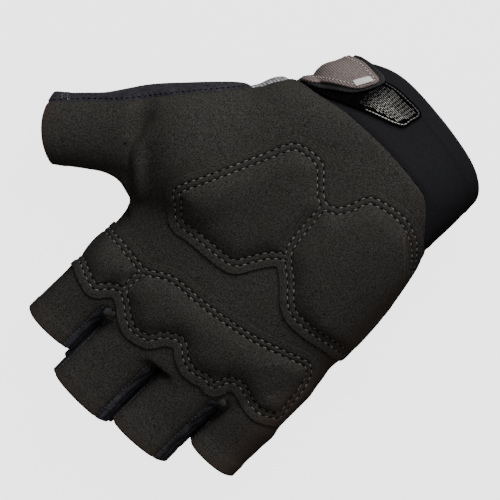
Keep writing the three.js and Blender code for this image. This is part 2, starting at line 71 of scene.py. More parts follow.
fingers = {
    "width": 26.4, "depth": 21.5, "reach": 28, "root": 30, "hemLead": 2.6,
    "square": 0.86, "flat": 1.12, "blend": (-4, 14), "stations": 40,
    # how far the stubs stand apart at first, and how far each side moves back afterwards
    "apart": 0.6, "closes": 1.3, "closesFrom": (-5, 0), "closesAcross": (0, 0.9),
    "closesAtCrotch": 0.9, "crotchAhead": 1, "crotchSpan": 3, "outerSides": 0.4,
    "openAtRing": 0.45, "openFrom": (9, 13), "ringSide": -24, "thumbSide": 60,
    # name, centre, width, depth, reach, slant
    "rows": [
        ("index", 0.3565, 0.852, 0.97, 0.75, 0.01),
        ("middle", 0.0943, 1.008, 1, 1.1, 0),
        ("ring", -0.1838, 0.939, 0.97, 0.965, 0.035),
        ("little", -0.4309, 0.795, 0.9, 0.465, 0.02),
    ],
}

thumb = {
    "length": 80, "width": 26.4, "depth": 23, "turn": math.radians(45),
    "rootAcross": 0.312, "rootAlong": 0.304, "square": 0.9, "stations": 40,
    "round": 1.8, "lean": 0.8, "cutReach": 30,
    # along, shift, width, middle, depth
    "rows": [
        (0, -0.235, 1.61, 0.87, 1.04),
        (0.114, -0.333, 1.96, 0.92, 1.4),
        (0.228, -0.379, 2.07, 0.94, 1.6),
        (0.365, -0.345, 1.98, 0.95, 1.63),
        (0.479, -0.246, 1.76, 0.88, 1.45),
        (0.548, -0.205, 1.64, 0.79, 1.2),
        (0.607, -0.174, 1.51, 0.82, 1.3),
        (0.658, -0.099, 1.3, 0.78, 1.22),
        (0.73, -0.049, 1.12, 0.73, 1.13),
        (0.822, -0.019, 1.05, 0.69, 1.07),
        (0.927, 0, 1, 0.66, 1.02),
        (1, 0, 0.94, 0.65, 0.97),
    ],
}

# How finely the cloth is meshed, and how far the tubes run past their hems before they are cut
mesh = {
    "voxel": 0.8, "around": 120, "stations": 60, "beyond": 5, "smooth": 14, "patchSmooth": 3,
    "snap": 0.05, "onHem": 0.01,
}

crotchLine = hand["palmLength"] - hand["wristToOrigin"]


def reader(rows):
    # every column at a place between its rows, on a smooth curve
    table = np.array(rows, float)
    places = table[:, 0]
    last = len(places) - 1

    def at(place):
        t = np.clip(np.asarray(place, float), places[0], places[-1])
        i = np.clip(np.searchsorted(places, t, side="right") - 1, 0, last - 1)
        before = np.where(i > 0, i - 1, i + 1)
        after = np.where(i + 2 <= last, i + 2, i)
        start, end = places[i], places[i + 1]
        p = ((t - start) / (end - start))[..., None]
        half = (end - start) / 2
        back = (half / (start - places[before]))[..., None]
        ahead = (half / (places[after] - end))[..., None]
        return (
            table[before] * (-back * p**3 + 2 * back * p**2 - back * p)
            + table[i] * ((1 + back) * p**3 - (1.5 + 2 * back) * p**2 + (back - 0.5) * p + 1)
            + table[i + 1] * (-(1 + ahead) * p**3 + (1.5 + ahead) * p**2 + 0.5 * p)
            + table[after] * (ahead * p**3 - ahead * p**2)
        )

    return at


handAt, thumbAt, crotchAt = reader(hand["rows"]), reader(thumb["rows"]), reader(hand["crotch"])


def mix(a, b, t):
    return a + (b - a) * t


def smoothStep(low, high, value):
    t = np.clip((value - low) / (high - low), 0, 1)
    return t * t * (3 - 2 * t)


def bell(away, width):
    # 1 in the middle, fading to 0 on both sides
    return np.exp(-((away / width) ** 2))


def crotchY(x):
    return crotchLine + fingers["reach"] * crotchAt(x / hand["knuckleWidth"])[..., 1]


def section(around, low, side, high, square, flat):
    # reach runs from -1 to 1 across and rise from -1 at the back to 1 at the palm
    turn = np.arange(around) / around * 2 * math.pi
    swing, rise = np.cos(turn), np.sin(turn)
    reach = np.sign(swing) * np.abs(swing) ** square
    climb = np.abs(rise) ** square
    under = np.maximum(low, side - (side - low) * flat * climb)
    return reach, rise, np.where(rise > 0, side + (high - side) * climb, under)


def handRings(stations, widest=1.0, wider=((0, 1), (0, 0))):
    # The thumb side widens by how far up the hand each spot lies, and not by its slanted ring.
    # A widest share below that of the thumb's root leaves the wrist's own tube, and wider gives
    # what is added to that share, as places and amounts.
    rings = []
    for along in stations:
        _, left, right, height, side, lift, hollow = handAt(along)
        right = min(right, widest)
        extra = np.interp(along, *wider)
        share = min(max(along, 0), 1)
        width = mix(hand["wristWidth"], hand["knuckleWidth"], share)
        depth = mix(hand["wristDepth"], hand["knuckleDepth"], share)
        reach, rise, z = section(
            mesh["around"], lift * depth, side * depth, height * depth, hand["square"], hand["flat"]
        )
        lead = hand["mouthLead"] * np.maximum(rise, 0) + hand["mouthSlant"] * reach
        mouth = -hand["wristToOrigin"] - lead
        sideMouth = -hand["wristToOrigin"] - hand["mouthSlant"]
        x = (left + right) / 2 * width + (right - left) / 2 * width * reach
        for _ in range(3):  # x and y settle each other
            y = mix(mouth, crotchY(x), along)
            upHand = (y - sideMouth) / (crotchLine - sideMouth)
            reached = np.where(reach > 0, handAt(upHand)[:, 2], right)
            reached = mix(right, reached, smoothStep(*hand["widensFrom"], reach))
            reached = np.minimum(reached, widest) + extra
            x = (left + reached) / 2 * width + (reached - left) / 2 * width * reach
        dip = bell(x / hand["knuckleWidth"] - hand["hollowAt"], hand["hollowWidth"])
        z = z - np.where(rise > 0, hollow * depth * dip * rise, 0)
        rings.append(np.stack([x, y, z], 1))
    return rings


def fingerRings(row):
    # near the palm a finger is as deep as the palm, so that the two run into each other
    _, centre, width, depth, reachOut, slant = row
    depth *= fingers["depth"]
    middle = hand["knuckleWidth"] * centre
    root = crotchLine - fingers["root"]
    crotch = crotchY(np.array(middle))
    hem = crotchLine + fingers["reach"] * reachOut + mesh["beyond"]
    rings = []
    for t in np.linspace(0, 1, fingers["stations"]):
        share = smoothStep(*fingers["blend"], mix(root, hem, t) - crotch)
        high = mix(hand["knuckleDepth"], depth, share)
        reach, rise, z = section(
            mesh["around"] // 2, 0, depth / 2, high, fingers["square"], fingers["flat"]
        )
        lead = fingers["hemLead"] * rise + slant * fingers["width"] * reach
        x = middle + (fingers["width"] * width / 2 - fingers["apart"]) * reach
        rings.append(np.stack([x, mix(root, hem + lead, t), z], 1))
    return rings


thumbRoot = np.array([
    thumb["rootAcross"] * hand["knuckleWidth"],
    thumb["rootAlong"] * hand["palmLength"] - hand["wristToOrigin"],
])
thumbAhead = np.array([math.sin(thumb["turn"]), math.cos(thumb["turn"])])
thumbOutward = np.array([math.cos(thumb["turn"]), -math.sin(thumb["turn"])])


def thumbRings():
    rings = []
    for along in [*np.linspace(0, 1, thumb["stations"]), 1 + mesh["beyond"] / thumb["length"]]:
        _, shift, width, middle, depth = thumbAt(along)
        middle, half = middle * thumb["depth"], depth * thumb["depth"] / 2
        reach, rise, z = section(
            mesh["around"] // 2, middle - half, middle, middle + half, thumb["square"], 1
        )
        ahead = along * thumb["length"] + along * fingers["hemLead"] * rise
        outward = (shift + width / 2 * reach) * thumb["width"]
        spot = thumbRoot + ahead[:, None] * thumbAhead + outward[:, None] * thumbOutward
        rings.append(np.column_stack([spot, z]))
    return rings


def closedTube(rings):
    around, count = len(rings[0]), len(rings)
    faces = []
    for r in range(count - 1):
        for i in range(around):
            j = (i + 1) % around
            faces.append((r * around + i, r * around + around + i, r * around + around + j, r * around + j))
    faces.append(tuple(range(around)))
    faces.append(tuple((count - 1) * around + i for i in reversed(range(around))))
    return np.concatenate(rings), faces


def joinedTubes(tubes):
    points, faces, start = [], [], 0
    for ringPoints, ringFaces in tubes:
        points.append(ringPoints)
        faces += [tuple(start + i for i in face) for face in ringFaces]
        start += len(ringPoints)
    return np.concatenate(points), faces


def meshArrays(data):
    points = np.zeros(len(data.vertices) * 3)
    data.vertices.foreach_get("co", points)
    data.calc_loop_triangles()
    tris = np.zeros(len(data.loop_triangles) * 3, np.int64)
    data.loop_triangles.foreach_get("vertices", tris)
    return points.reshape(-1, 3) / mm, tris.reshape(-1, 3)


def fusedSkin(points, faces):
    # one closed skin around all the tubes
    data = bpy.data.meshes.new("fused")
    data.from_pydata((points * mm).tolist(), [], faces)
    body = bpy.data.objects.new("fused", data)
    bpy.context.scene.collection.objects.link(body)
    fuse = body.modifiers.new("fuse", "REMESH")
    fuse.mode = "VOXEL"
    fuse.voxel_size = mesh["voxel"] * mm
    shown = body.evaluated_get(bpy.context.evaluated_depsgraph_get())
    result = meshArrays(shown.data)
    bpy.data.objects.remove(body)
    return result


def edgePairs(tris):
    return np.concatenate([tris[:, [0, 1]], tris[:, [1, 2]], tris[:, [2, 0]]])


def smoothed(points, tris, rounds, keep=None):
    # every point moves half way to the middle of its neighbours
    a, b = edgePairs(tris).T
    count = np.bincount(a, minlength=len(points)) + np.bincount(b, minlength=len(points))
    count = np.maximum(count, 1)[:, None]
    free = np.ones(len(points), bool) if keep is None else ~keep
    for _ in range(rounds):
        total = np.stack(
            [
                np.bincount(a, points[b, k], len(points)) + np.bincount(b, points[a, k], len(points))
                for k in range(3)
            ],
            1,
        )
        points = np.where(free[:, None], mix(points, total / count, 0.5), points)
    return points


def pointNormals(points, tris):
    a, b, c = points[tris].transpose(1, 0, 2)
    face = np.cross(b - a, c - a)
    total = np.stack(
        [sum(np.bincount(tris[:, i], face[:, k], len(points)) for i in range(3)) for k in range(3)], 1
    )
    return total / np.maximum(np.linalg.norm(total, axis=1, keepdims=True), 1e-12)


def edgesOf(points, tris):
    # the three edges of each face, and for each a number that both its faces give it
    edges = np.stack([tris[:, [0, 1]], tris[:, [1, 2]], tris[:, [2, 0]]], 1)
    return edges, edges.min(2) * len(points) + edges.max(2)


def cutAlong(points, tris, field):
    # new points wherever the field changes sign along an edge, so that no triangle crosses it
    f = field(points)
    f[np.abs(f) < mesh["snap"]] = 0
    sign = np.sign(f)
    edges, code = edgesOf(points, tris)
    crossed = sign[edges[..., 0]] * sign[edges[..., 1]] < 0
    if not crossed.any():
        return points, tris
    found, place = np.unique(code[crossed], return_inverse=True)
    low, high = found // len(points), found % len(points)
    t = (f[low] / (f[low] - f[high]))[:, None]
    made = np.zeros_like(code)
    made[crossed] = len(points) + place
    points = np.concatenate([points, mix(points[low], points[high], t)])
    count = crossed.sum(1)
    parts = [tris[count == 0]]
    for k in range(3):
        k1, k2 = (k + 1) % 3, (k + 2) % 3
        one = (count == 1) & crossed[:, k]
        p, q, r, x = tris[one, k], tris[one, k1], tris[one, k2], made[one, k]
        parts += [np.stack([p, x, r], 1), np.stack([x, q, r], 1)]
        two = (count == 2) & ~crossed[:, k]
        p, q, r, x, y = tris[two, k], tris[two, k1], tris[two, k2], made[two, k1], made[two, k2]
        parts += [np.stack([p, q, x], 1), np.stack([p, x, y], 1), np.stack([y, x, r], 1)]
    return points, np.concatenate(parts)


def faceSide(points, tris, field):
    # whether each face lies on the field's positive side
    return field(points)[tris].sum(1) > 0


def smoothLine(spots, closed=False, steps=8):
    spots = np.array(spots, float)
    count = len(spots)
    t = (np.arange(steps) / steps)[:, None]
    parts = []
    for i in range(count if closed else count - 1):
        around = [i - 1, i, i + 1, i + 2]
        pick = [n % count for n in around] if closed else [min(max(n, 0), count - 1) for n in around]
        a, b, c, d = spots[pick]
        bend = (2 * a - 5 * b + 4 * c - d) * t**2 + (3 * b - a - 3 * c + d) * t**3
        parts.append(0.5 * (2 * b + (c - a) * t + bend))
    return np.concatenate(parts if closed else [*parts, spots[-1:]])


def insideBy(spots, outline):
    # the distance to a closed outline seen from above, positive inside of it
    nearest = np.full(len(spots), 1e9)
    inside = np.zeros(len(spots), bool)
    for start, side in zip(outline, np.roll(outline, -1, 0) - outline):
        reach = spots - start
        t = np.clip(reach @ side / max(side @ side, 1e-12), 0, 1)
        nearest = np.minimum(nearest, ((reach - t[:, None] * side) ** 2).sum(1))
        between = (start[1] > spots[:, 1]) != (start[1] + side[1] > spots[:, 1])
        if side[1] != 0:
            inside ^= between & (reach[:, 0] < side[0] * reach[:, 1] / side[1])
    return np.where(inside, 1, -1) * np.sqrt(nearest)


def spotsOf(rows):
    # rows of across and along, as places seen from above
    return [(a * hand["knuckleWidth"], b * hand["palmLength"] - hand["wristToOrigin"]) for a, b in rows]


print("stage: glove skin")
stations = [-mesh["beyond"] / hand["palmLength"], *np.linspace(0, 1, mesh["stations"])]
tubes = [closedTube(handRings(stations)), closedTube(thumbRings())]
tubes += [closedTube(fingerRings(row)) for row in fingers["rows"]]
skinPoints, skinTris = fusedSkin(*joinedTubes(tubes))
skinPoints = smoothed(skinPoints, skinTris, mesh["smooth"])
print("skin", len(skinPoints), len(skinTris))


def fingerPlace(points):
    # for each point, the row of the finger it lies in and how far it is from that finger's middle
    centres = np.array([row[1] for row in fingers["rows"]]) * hand["knuckleWidth"]
    halves = np.array([row[2] for row in fingers["rows"]]) * fingers["width"] / 2
    gaps = ((centres - halves)[:-1] + (centres + halves)[1:]) / 2
    number = (points[:, 0, None] < gaps).sum(1)
    return number, points[:, 0] - centres[number]


# The fingers were kept apart while the skin was fused, and close up again here
number, off = fingerPlace(skinPoints)
ahead = skinPoints[:, 1] - crotchY(skinPoints[:, 0])
share = off / (np.array([row[2] for row in fingers["rows"]])[number] * fingers["width"] / 2)
outer = (number == 0) & (share > 0) | (number == 3) & (share < 0)
nearCrotch = bell(ahead - fingers["crotchAhead"], fingers["crotchSpan"])
ringSide = skinPoints[:, 0] < fingers["ringSide"]
leftOpen = ringSide * fingers["openAtRing"] * smoothStep(*fingers["openFrom"], ahead)
closes = fingers["closes"] + fingers["closesAtCrotch"] * nearCrotch - leftOpen
closes *= np.where(outer, fingers["outerSides"], 1)
closes *= np.sign(share) * smoothStep(*fingers["closesAcross"], np.abs(share))
closes *= smoothStep(*fingers["closesFrom"], ahead)
skinPoints[:, 0] += np.where(skinPoints[:, 0] > fingers["thumbSide"], 0, closes)

# Small lasting pulls on the cloth: where, how far around, and which way
nudges = [
    ((47.5, 17.8), 5.5, (1.1, 1.1)), ((68, 22.5), 13, (-0.3, 0.35)), ((45.3, 48.9), 8, (-0.45, 0)),
    ((41, -52), 5, (0.5, -0.3)), ((-49.5, -21.5), 15, (0.6, 0)), ((-36.7, -75.6), 12, (-0.7, -0.5)),
    ((-49.4, 9.6), 4.5, (0.9, 0)), ((46, 16.6), 2.6, (0.9, 0.8)),
    ((93.3, 10.5), 3, (0.5, -0.6)),
]
for spot, size, pull in nudges:
    near = bell(np.linalg.norm(skinPoints[:, :2] - spot, axis=1), size)
    skinPoints[:, :2] += near[:, None] * pull

# The palm runs evenly into the mound of the thumb
calm = {"across": (-5, 45), "along": (-50, 22), "above": 16, "edge": 8, "rise": 4, "rounds": 90}
share = smoothStep(calm["above"], calm["above"] + calm["rise"], skinPoints[:, 2])
for axis, span in enumerate((calm["across"], calm["along"])):
    share *= smoothStep(span[0], span[0] + calm["edge"], skinPoints[:, axis])
    share *= smoothStep(span[1], span[1] - calm["edge"], skinPoints[:, axis])
calmed = smoothed(skinPoints, skinTris, calm["rounds"], share == 0)
skinPoints = mix(skinPoints, calmed, share[:, None])
bodyPoints, bodyTris = skinPoints, skinTris

# Seams between the panels: each field is positive on the panel's own side
panels = {
    "seamDrop": 1.5, "stripWidth": 3.4, "stripUnder": 1.2, "stripBehind": 1.4, "stripLow": 0.2,
    "thumbSeamHeight": 0.42,
    # across, along
    "cuffSeam": [
        (0.5, 0.115), (0.36, 0.114), (0.24, 0.114), (0.12, 0.102), (-0.09, 0.098), (-0.23, 0.107),
        (-0.3, 0.118), (-0.345, 0.145), (-0.4, 0.19), (-0.46, 0.225), (-0.7, 0.24),
    ],
    "trim": [(0.467, 0.246), (0.442, 0.222), (0.419, 0.187), (0.391, 0.152), (0.352, 0.08)],
    # along, inset
    "thumbSeam": [
        (0.07, 0.02), (0.11, 0.075), (0.3, 0.14), (0.48, 0.175), (0.62, 0.165), (0.75, 0.11),
        (0.9, 0.11), (1.1, 0.12),
    ],
    # along, outward
    "thumbBack": [
        (0.07, 1.5), (0.07, 0.6), (0.34, -0.35), (0.6, -0.93), (0.8, -1.1), (1.3, -1.1), (1.3, 1.5),
    ],
}
farOut = 2 * hand["palmLength"]


def thumbSpot(along, outward):
    return thumbRoot + along * thumb["length"] * thumbAhead + outward * thumb["width"] * thumbOutward


def mouthField(points):
    x, y, z = points.T
    _, left, right, height, side, _, _ = handAt(0)
    reach = (x / hand["wristWidth"] - (left + right) / 2) / ((right - left) / 2)
    climb = np.clip((z / hand["wristDepth"] - side) / (height - side), 0, 1)
    rise = climb ** (1 / hand["square"])
    lead = hand["mouthLead"] * rise + hand["mouthSlant"] * reach
    cut = hand["mouthTrim"] * smoothStep(*hand["mouthTrimSpan"], reach)
    cut += hand["mouthDip"] * bell(x - hand["mouthDipAt"], hand["mouthDipWidth"])
    return y + hand["wristToOrigin"] + lead - cut


def hemField(points):
    number, off = fingerPlace(points)
    table = np.array([row[1:] for row in fingers["rows"]])[number]
    depth = table[:, 2] * fingers["depth"]
    reach = np.clip(off / (table[:, 1] * fingers["width"] / 2), -1, 1)
    up = (points[:, 2] - depth / 2) / (depth / 2)
    rise = np.sign(up) * np.clip(np.abs(up), 0, 1) ** (1 / fingers["square"])
    hem = crotchLine + fingers["reach"] * table[:, 3] + table[:, 4] * fingers["width"] * reach
    return hem + fingers["hemLead"] * rise - points[:, 1]


def thumbHemField(points):
    reach = points[:, :2] - thumbRoot
    along, outward = reach @ thumbAhead, reach @ thumbOutward
    _, _, width, middle, _ = thumbAt(1)
    up = np.clip(points[:, 2] / thumb["depth"] / middle - 1, -1, 1)
    share = outward / (width / 2 * thumb["width"])
    rounding = thumb["round"] + thumb["lean"] * (share > 0)
    hem = thumb["length"] + fingers["hemLead"] * up - rounding * share**2
    return np.maximum(hem - along, np.abs(outward) - thumb["cutReach"])


cuffOutline = np.vstack([
    smoothLine(spotsOf(panels["cuffSeam"])), [[-farOut, -farOut], [farOut, -farOut]],
])
trimLine = smoothLine(spotsOf(panels["trim"]))
trimOutline = np.vstack([trimLine, [[farOut, trimLine[-1][1]], [farOut, trimLine[0][1]]]])


def thumbEdge(along, inset):
    _, shift, width, _, _ = thumbAt(along)
    return thumbSpot(along, shift + width / 2 - inset)


thumbEdges = smoothLine([thumbEdge(*row) for row in panels["thumbSeam"]])
thumbOutline = np.vstack([thumbEdges, [thumbSpot(1.1, 2), thumbSpot(panels["thumbSeam"][0][0], 2)]])
thumbUnder = np.array([thumbSpot(*row) for row in panels["thumbBack"]])


def cuffField(points):
    return insideBy(points[:, :2], cuffOutline)


def thumbField(points):
    under = np.minimum(
        insideBy(points[:, :2], thumbUnder), panels["thumbSeamHeight"] * thumb["depth"] - points[:, 2]
    )
    return np.maximum(insideBy(points[:, :2], thumbOutline), under)


def trimField(points):
    return insideBy(points[:, :2], trimOutline)


def backField(points):
    along = np.clip((points[:, 1] + hand["wristToOrigin"]) / hand["palmLength"], 0, 1)
    side = handAt(along)[:, 4] * mix(hand["wristDepth"], hand["knuckleDepth"], along)
    return side - panels["seamDrop"] - points[:, 2]


def stripField(border):
    half = (panels["stripWidth"] + panels["stripUnder"]) / 2
    middle = border + (panels["stripWidth"] - panels["stripUnder"]) / 2
    back = crotchY(np.array(middle)) - panels["stripBehind"] + half

    def field(points):
        ahead = np.minimum(points[:, 1] - back, 0)
        slot = half - np.hypot(points[:, 0] - middle, ahead)
        return np.minimum(slot, points[:, 2] - panels["stripLow"] * fingers["depth"])

    return field


zones = [("cuff_band", cuffField), ("thumb_back", thumbField), ("side_trim", trimField)]
for row, following in zip(fingers["rows"], fingers["rows"][1:]):
    border = row[1] * hand["knuckleWidth"] - row[2] * fingers["width"] / 2
    zones.append((f"fourchette_{row[0]}_{following[0]}", stripField(border)))
zones.append(("back_panel", backField))

print("stage: panels")
for field in (mouthField, hemField, thumbHemField):
    skinPoints, skinTris = cutAlong(skinPoints, skinTris, field)
    skinTris = skinTris[faceSide(skinPoints, skinTris, field)]
for _, field in zones:
    skinPoints, skinTris = cutAlong(skinPoints, skinTris, field)
panelOf = np.full(len(skinTris), len(zones))
for i, (_, field) in reversed(list(enumerate(zones))):
    panelOf[faceSide(skinPoints, skinTris, field)] = i
panelNames = [name for name, _ in zones] + ["palm_panel"]


def packed(points, tris, *values):
    # only the points that the faces use
    used, flat = np.unique(tris, return_inverse=True)
    return points[used], flat.reshape(-1, 3), *[value[used] for value in values]


skinPoints, skinTris = packed(skinPoints, skinTris)


def distanceTo(points, targets):
    tree = KDTree(len(targets))
    for i, target in enumerate(targets):
        tree.insert(target, i)
    tree.balance()
    return np.array([tree.find(point)[2] for point in points])


def openEdges(tris):
    # directed edges that have a face on one side only
    edges = edgePairs(tris)
    size = tris.max() + 1
    return edges[~np.isin(edges[:, 0] * size + edges[:, 1], edges[:, 1] * size + edges[:, 0])]


# Points on the seams between panels, and on the open hems
hemPoints = np.unique(openEdges(skinTris))
corner = edgePairs(skinTris)
owner = np.tile(panelOf, 3)
lowest = np.full(len(skinPoints), 99)
highest = np.full(len(skinPoints), -1)
np.minimum.at(lowest, corner[:, 0], owner)
np.maximum.at(highest, corner[:, 0], owner)
seamPoints = np.flatnonzero(lowest != highest)
toSeam = distanceTo(skinPoints, skinPoints[seamPoints])
toHem = distanceTo(skinPoints, skinPoints[hemPoints])

# Relief of the cloth: pressed seams, rolled hems, and the thumb's crease with a ridge beside it
relief = {
    "seamDepth": 0.55, "seamWidth": 1.1, "hemHeight": 0.25, "hemWidth": 5.5, "hemStep": 0.8,
    "creaseDepth": 2.4, "creaseWidth": 6, "creaseSteep": 1.7, "creaseFades": 0.35, "facing": (0.1, 0.5),
    "ridgeHeight": 1.3, "ridgeAway": 4.2, "ridgeWidth": 2.4,
    "crease": [(62, -11.6), (63, -5), (61.3, 1.8), (58.6, 6.9), (53.6, 12.3), (48.2, 17.2)],
}


def alongLine(spots, line):
    # the distance to an open line, the side of it and the share of its length
    best = np.full(len(spots), 1e9)
    sideOf = np.zeros(len(spots))
    share = np.zeros(len(spots))
    count = len(line) - 1
    for i in range(count):
        side = line[i + 1] - line[i]
        reach = spots - line[i]
        t = np.clip(reach @ side / (side @ side), 0, 1)
        gap = ((reach - t[:, None] * side) ** 2).sum(1)
        closer = gap < best
        best = np.where(closer, gap, best)
        sideOf = np.where(closer, np.sign(side[0] * reach[:, 1] - side[1] * reach[:, 0]), sideOf)
        share = np.where(closer, (i + t) / count, share)
    return np.sqrt(best), sideOf, share


skinNormals = pointNormals(skinPoints, skinTris)
away, sideOf, share = alongLine(skinPoints[:, :2], smoothLine(relief["crease"]))
fade = smoothStep(0, relief["creaseFades"], share) * smoothStep(*relief["facing"], skinNormals[:, 2])
beside = away * sideOf
slope = np.where(beside > 0, relief["creaseSteep"], relief["creaseWidth"])
lift = -relief["creaseDepth"] * bell(beside, slope) * fade
lift += relief["ridgeHeight"] * bell(beside - relief["ridgeAway"], relief["ridgeWidth"]) * fade
lift -= relief["seamDepth"] * bell(toSeam, relief["seamWidth"])
lift += relief["hemHeight"] * smoothStep(relief["hemWidth"], relief["hemWidth"] - relief["hemStep"], toHem)
skinPoints = skinPoints + skinNormals * lift[:, None]
skinPoints[:, 2] = np.maximum(skinPoints[:, 2], 0)
skinNormals = pointNormals(skinPoints, skinTris)


def meshObject(name, points, tris, edge):
    # edge says how far each point takes the worn tone of an edge
    data = bpy.data.meshes.new(name)
    data.vertices.add(len(points))
    data.vertices.foreach_set("co", (points * mm).astype(np.float32).ravel())
    data.loops.add(3 * len(tris))
    data.loops.foreach_set("vertex_index", tris.astype(np.int32).ravel())
    data.polygons.add(len(tris))
    data.polygons.foreach_set("loop_start", np.arange(len(tris), dtype=np.int32) * 3)
    data.update(calc_edges=True)
    data.validate()
    data.shade_smooth()
    data.attributes.new("edge", "FLOAT", "POINT").data.foreach_set("value", edge.astype(np.float32))
    piece = bpy.data.objects.new(name, data)
    bpy.context.scene.collection.objects.link(piece)
    return piece


def shell(name, points, tris, normals, low, high, bulge, rings, edge):
    # a closed cloth layer between two heights over a surface, with a rounded rim
    count = len(points)
    low, high = np.broadcast_to(low, count), np.broadcast_to(high, count)
    rim = openEdges(tris)
    direction = points[rim[:, 1]] - points[rim[:, 0]]
    outward = np.zeros_like(points)
    np.add.at(outward, rim[:, 0], np.cross(direction, normals[rim[:, 0]]))
    np.add.at(outward, rim[:, 1], np.cross(direction, normals[rim[:, 1]]))
    outward /= np.maximum(np.linalg.norm(outward, axis=1, keepdims=True), 1e-12)
    bulge = np.broadcast_to(bulge, count)
    layers = [points + normals * high[:, None]]
    for share in rings:
        swell = math.sin(math.pi * share)
        layers.append(
            points + normals * mix(high, low, share)[:, None] + outward * (bulge * swell)[:, None]
        )
    layers.append(points + normals * low[:, None])
    onRim = np.unique(rim)
    place = np.full(count, -1)
    place[onRim] = np.arange(len(onRim))
    made = [layers[0], *[layer[onRim] for layer in layers[1:-1]], layers[-1]]
    # the face comes first, then the rings round its rim, then the underside
    starts = np.cumsum([0, count] + [len(onRim)] * len(rings))
    faces = [tris, tris[:, ::-1] + starts[-1]]
    numbers = [np.arange(count), *[place + start for start in starts[1:-1]], np.arange(count) + starts[-1]]
    for upper, lower in zip(numbers, numbers[1:]):
        a, b, c, d = upper[rim[:, 1]], upper[rim[:, 0]], lower[rim[:, 0]], lower[rim[:, 1]]
        faces += [np.stack([a, b, c], 1), np.stack([a, c, d], 1)]
    edge = np.concatenate([edge, np.ones(len(onRim) * len(rings)), edge])
    placed = np.concatenate(made)
    placed[:, 2] = np.maximum(placed[:, 2], 0)
    return meshObject(name, placed, np.concatenate(faces), edge)


# Node trees, for finishes and for thread
def nodeAdder(tree):
    # adds a node whose inputs take numbers, colours or other nodes' outputs
    def add(kind, inputs=None, **settings):
        node = tree.nodes.new(kind)
        for key, value in settings.items():
            setattr(node, key, value)
        for key, value in (inputs or {}).items():
            if isinstance(value, bpy.types.NodeSocket):
                tree.links.new(value, node.inputs[key])
            else:
                node.inputs[key].default_value = value
        return node

    return add


def colour(*parts):
    # a display colour from 0 to 255, as the linear colour that a finish takes
    linear = [((p / 255 + 0.055) / 1.055) ** 2.4 if p > 10 else p / 255 / 12.92 for p in parts]
    return (*linear, 1)


def noiseAt(add, place, size, detail):
    # noise whose blotches are about size millimetres wide
    scale = 1 / (size * mm)
    return add("ShaderNodeTexNoise", {"Vector": place, "Scale": scale, "Detail": detail}).outputs["Fac"]


def ribsAt(add, place, size, axis):
    # a wave from 0 to 1, size millimetres from rib to rib; the node's own wave is pi / 10 long
    scale = math.pi / 10 / (size * mm)
    inputs = {"Vector": place, "Scale": scale, "Distortion": 0.0}
    return add("ShaderNodeTexWave", inputs, bands_direction=axis).outputs["Fac"]


def ramp(add, value, low, high):
    # the value's stretch from low to high, spread to 0 to 1
    return add("ShaderNodeMapRange", {"Value": value, "From Min": low, "From Max": high}).outputs[0]


def blended(add, share, first, second):
    # a mix of two colours, which are the node's inputs 6 and 7
    node = add("ShaderNodeMix", {"Factor": share}, data_type="RGBA")
    for key, value in ((6, first), (7, second)):
        if isinstance(value, bpy.types.NodeSocket):
            node.id_data.links.new(value, node.inputs[key])
        else:
            node.inputs[key].default_value = value
    return node.outputs[2]


def worked(add, operation, first, second):
    return add("ShaderNodeMath", {0: first, 1: second}, operation=operation).outputs[0]


# How the noise and the ribs are spread over a finish's tones
spreads = {"grain": (0.3, 0.7), "mottle": (0.42, 0.68), "ribs": (0.6, 0.1)}


def clothFinish(name, look):
    # Two tones in fine noise, a tint in broad noise, ribs if there are any, a worn edge tone, tones
    # that fade in along an axis, and a fine relief
    finish = bpy.data.materials.new(name)
    finish.use_nodes = True
    add = nodeAdder(finish.node_tree)
    shader = finish.node_tree.nodes["Principled BSDF"]
    place = add("ShaderNodeTexCoord").outputs["Object"]
    grain = noiseAt(add, place, look["grain"], 3.0)
    mottle = noiseAt(add, place, look["mottle"], 2.0)
    tone = blended(add, ramp(add, grain, *spreads["grain"]), look["dark"], look["light"])
    tinted = worked(add, "MULTIPLY", ramp(add, mottle, *spreads["mottle"]), look.get("tinted", 0.5))
    tone = blended(add, tinted, tone, look.get("tint", look["dark"]))
    height = grain
    if "ribs" in look:
        size, axis, depth = look["ribs"]
        wave = ribsAt(add, place, size, axis)
        shade = worked(add, "MULTIPLY", ramp(add, wave, *spreads["ribs"]), depth)
        tone = blended(add, shade, tone, look["dark"])
        height = worked(add, "ADD", wave, grain)
    if "edge" in look:
        rim = add("ShaderNodeAttribute", attribute_name="edge").outputs["Fac"]
        tone = blended(add, worked(add, "MULTIPLY", rim, look["edged"]), tone, look["edge"])
    for axis, start, end, far in look.get("fades", []):
        along = add("ShaderNodeSeparateXYZ", {"Vector": place}).outputs[axis]
        tone = blended(add, ramp(add, along, start * mm, end * mm), tone, far)
    finish.node_tree.links.new(tone, shader.inputs["Base Color"])
    shader.inputs["Roughness"].default_value = look["rough"]
    shader.inputs["Specular IOR Level"].default_value = look.get("gloss", 0.25)
    shader.inputs["Sheen Weight"].default_value = look.get("sheen", 0.0)
    shader.inputs["Sheen Roughness"].default_value = 0.5
    bump = add("ShaderNodeBump", {"Height": height, "Distance": look["relief"] * mm, "Strength": 1.0})
    finish.node_tree.links.new(bump.outputs["Normal"], shader.inputs["Normal"])
    return finish


